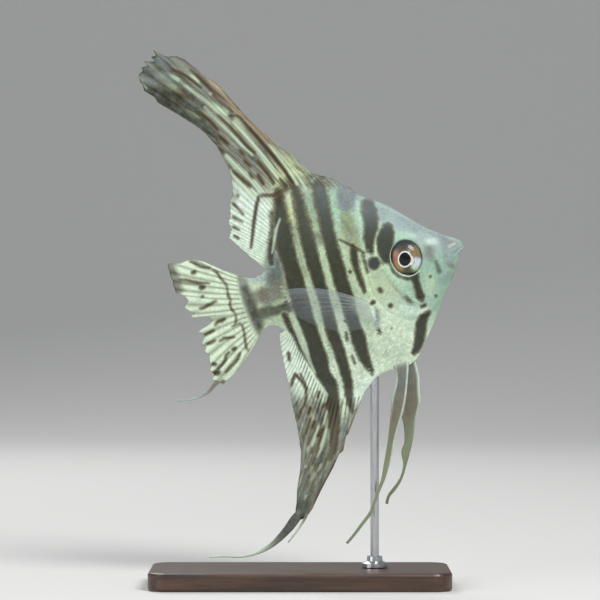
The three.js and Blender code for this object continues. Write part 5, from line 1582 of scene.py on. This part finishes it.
class ANGELFISH_OT_skin(bpy.types.Operator):
    """Makes the skin with the dorsal, anal and tail fins."""

    bl_idname = "angelfish.skin"
    bl_label = "Skin"

    def execute(self, context):
        make_skin(colours_now(context.scene))
        return {"FINISHED"}


class ANGELFISH_OT_scales(bpy.types.Operator):
    """Lays the scales over the flanks."""

    bl_idname = "angelfish.scales"
    bl_label = "Scales"

    def execute(self, context):
        make_scales(colours_now(context.scene), context.scene.angelfish_sizes)
        return {"FINISHED"}


class ANGELFISH_OT_eyes(bpy.types.Operator):
    """Makes both eyes and their rims."""

    bl_idname = "angelfish.eyes"
    bl_label = "Eyes"

    def execute(self, context):
        make_eyeballs()
        make_eye_rims(colours_now(context.scene))
        return {"FINISHED"}


class ANGELFISH_OT_paired_fins(bpy.types.Operator):
    """Makes the pectoral and pelvic fins."""

    bl_idname = "angelfish.paired_fins"
    bl_label = "Paired fins"

    def execute(self, context):
        make_paired_fins(colours_now(context.scene))
        return {"FINISHED"}


class ANGELFISH_OT_threads(bpy.types.Operator):
    """Makes the long threads that the fins end in."""

    bl_idname = "angelfish.threads"
    bl_label = "Threads"

    def execute(self, context):
        make_threads(colours_now(context.scene))
        return {"FINISHED"}


class ANGELFISH_OT_stand(bpy.types.Operator):
    """Finishes the display stand."""

    bl_idname = "angelfish.stand"
    bl_label = "Stand"

    def execute(self, context):
        make_stand()
        return {"FINISHED"}


class ANGELFISH_OT_studio(bpy.types.Operator):
    """Sets up the floor, the lamps and the camera."""

    bl_idname = "angelfish.studio"
    bl_label = "Studio"

    def execute(self, context):
        make_studio(context.scene, context.scene.angelfish_studio)
        return {"FINISHED"}


OPERATORS = (
    ANGELFISH_OT_skin, ANGELFISH_OT_scales, ANGELFISH_OT_eyes, ANGELFISH_OT_paired_fins,
    ANGELFISH_OT_threads, ANGELFISH_OT_stand, ANGELFISH_OT_studio,
)


class ANGELFISH_PT_panel(bpy.types.Panel):
    """Lists the operators and the sizes and colours that they use."""

    bl_idname = "ANGELFISH_PT_panel"
    bl_label = "Angelfish"
    bl_space_type = "VIEW_3D"
    bl_region_type = "UI"
    bl_category = "Angelfish"

    def draw(self, context):
        for group in ("angelfish_sizes", "angelfish_paints", "angelfish_studio"):
            settings = getattr(context.scene, group)
            for key in settings.__annotations__:
                self.layout.prop(settings, key)
        for operator in OPERATORS:
            self.layout.operator(operator.bl_idname)


CLASSES = (AngelfishPaints, AngelfishSizes, AngelfishStudio, *OPERATORS, ANGELFISH_PT_panel)


def register():
    """Adds the classes and the scene's settings."""
    for added in CLASSES:
        bpy.utils.register_class(added)
    bpy.types.Scene.angelfish_paints = PointerProperty(type=AngelfishPaints)
    bpy.types.Scene.angelfish_sizes = PointerProperty(type=AngelfishSizes)
    bpy.types.Scene.angelfish_studio = PointerProperty(type=AngelfishStudio)


def unregister():
    """Takes them away again."""
    for group in ("angelfish_paints", "angelfish_sizes", "angelfish_studio"):
        delattr(bpy.types.Scene, group)
    for added in reversed(CLASSES):
        bpy.utils.unregister_class(added)


def main():
    """Registers the add-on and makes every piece."""
    register()
    for operator in OPERATORS:
        getattr(bpy.ops.angelfish, operator.bl_idname.split(".")[1])()


if __name__ == "__main__":
    main()
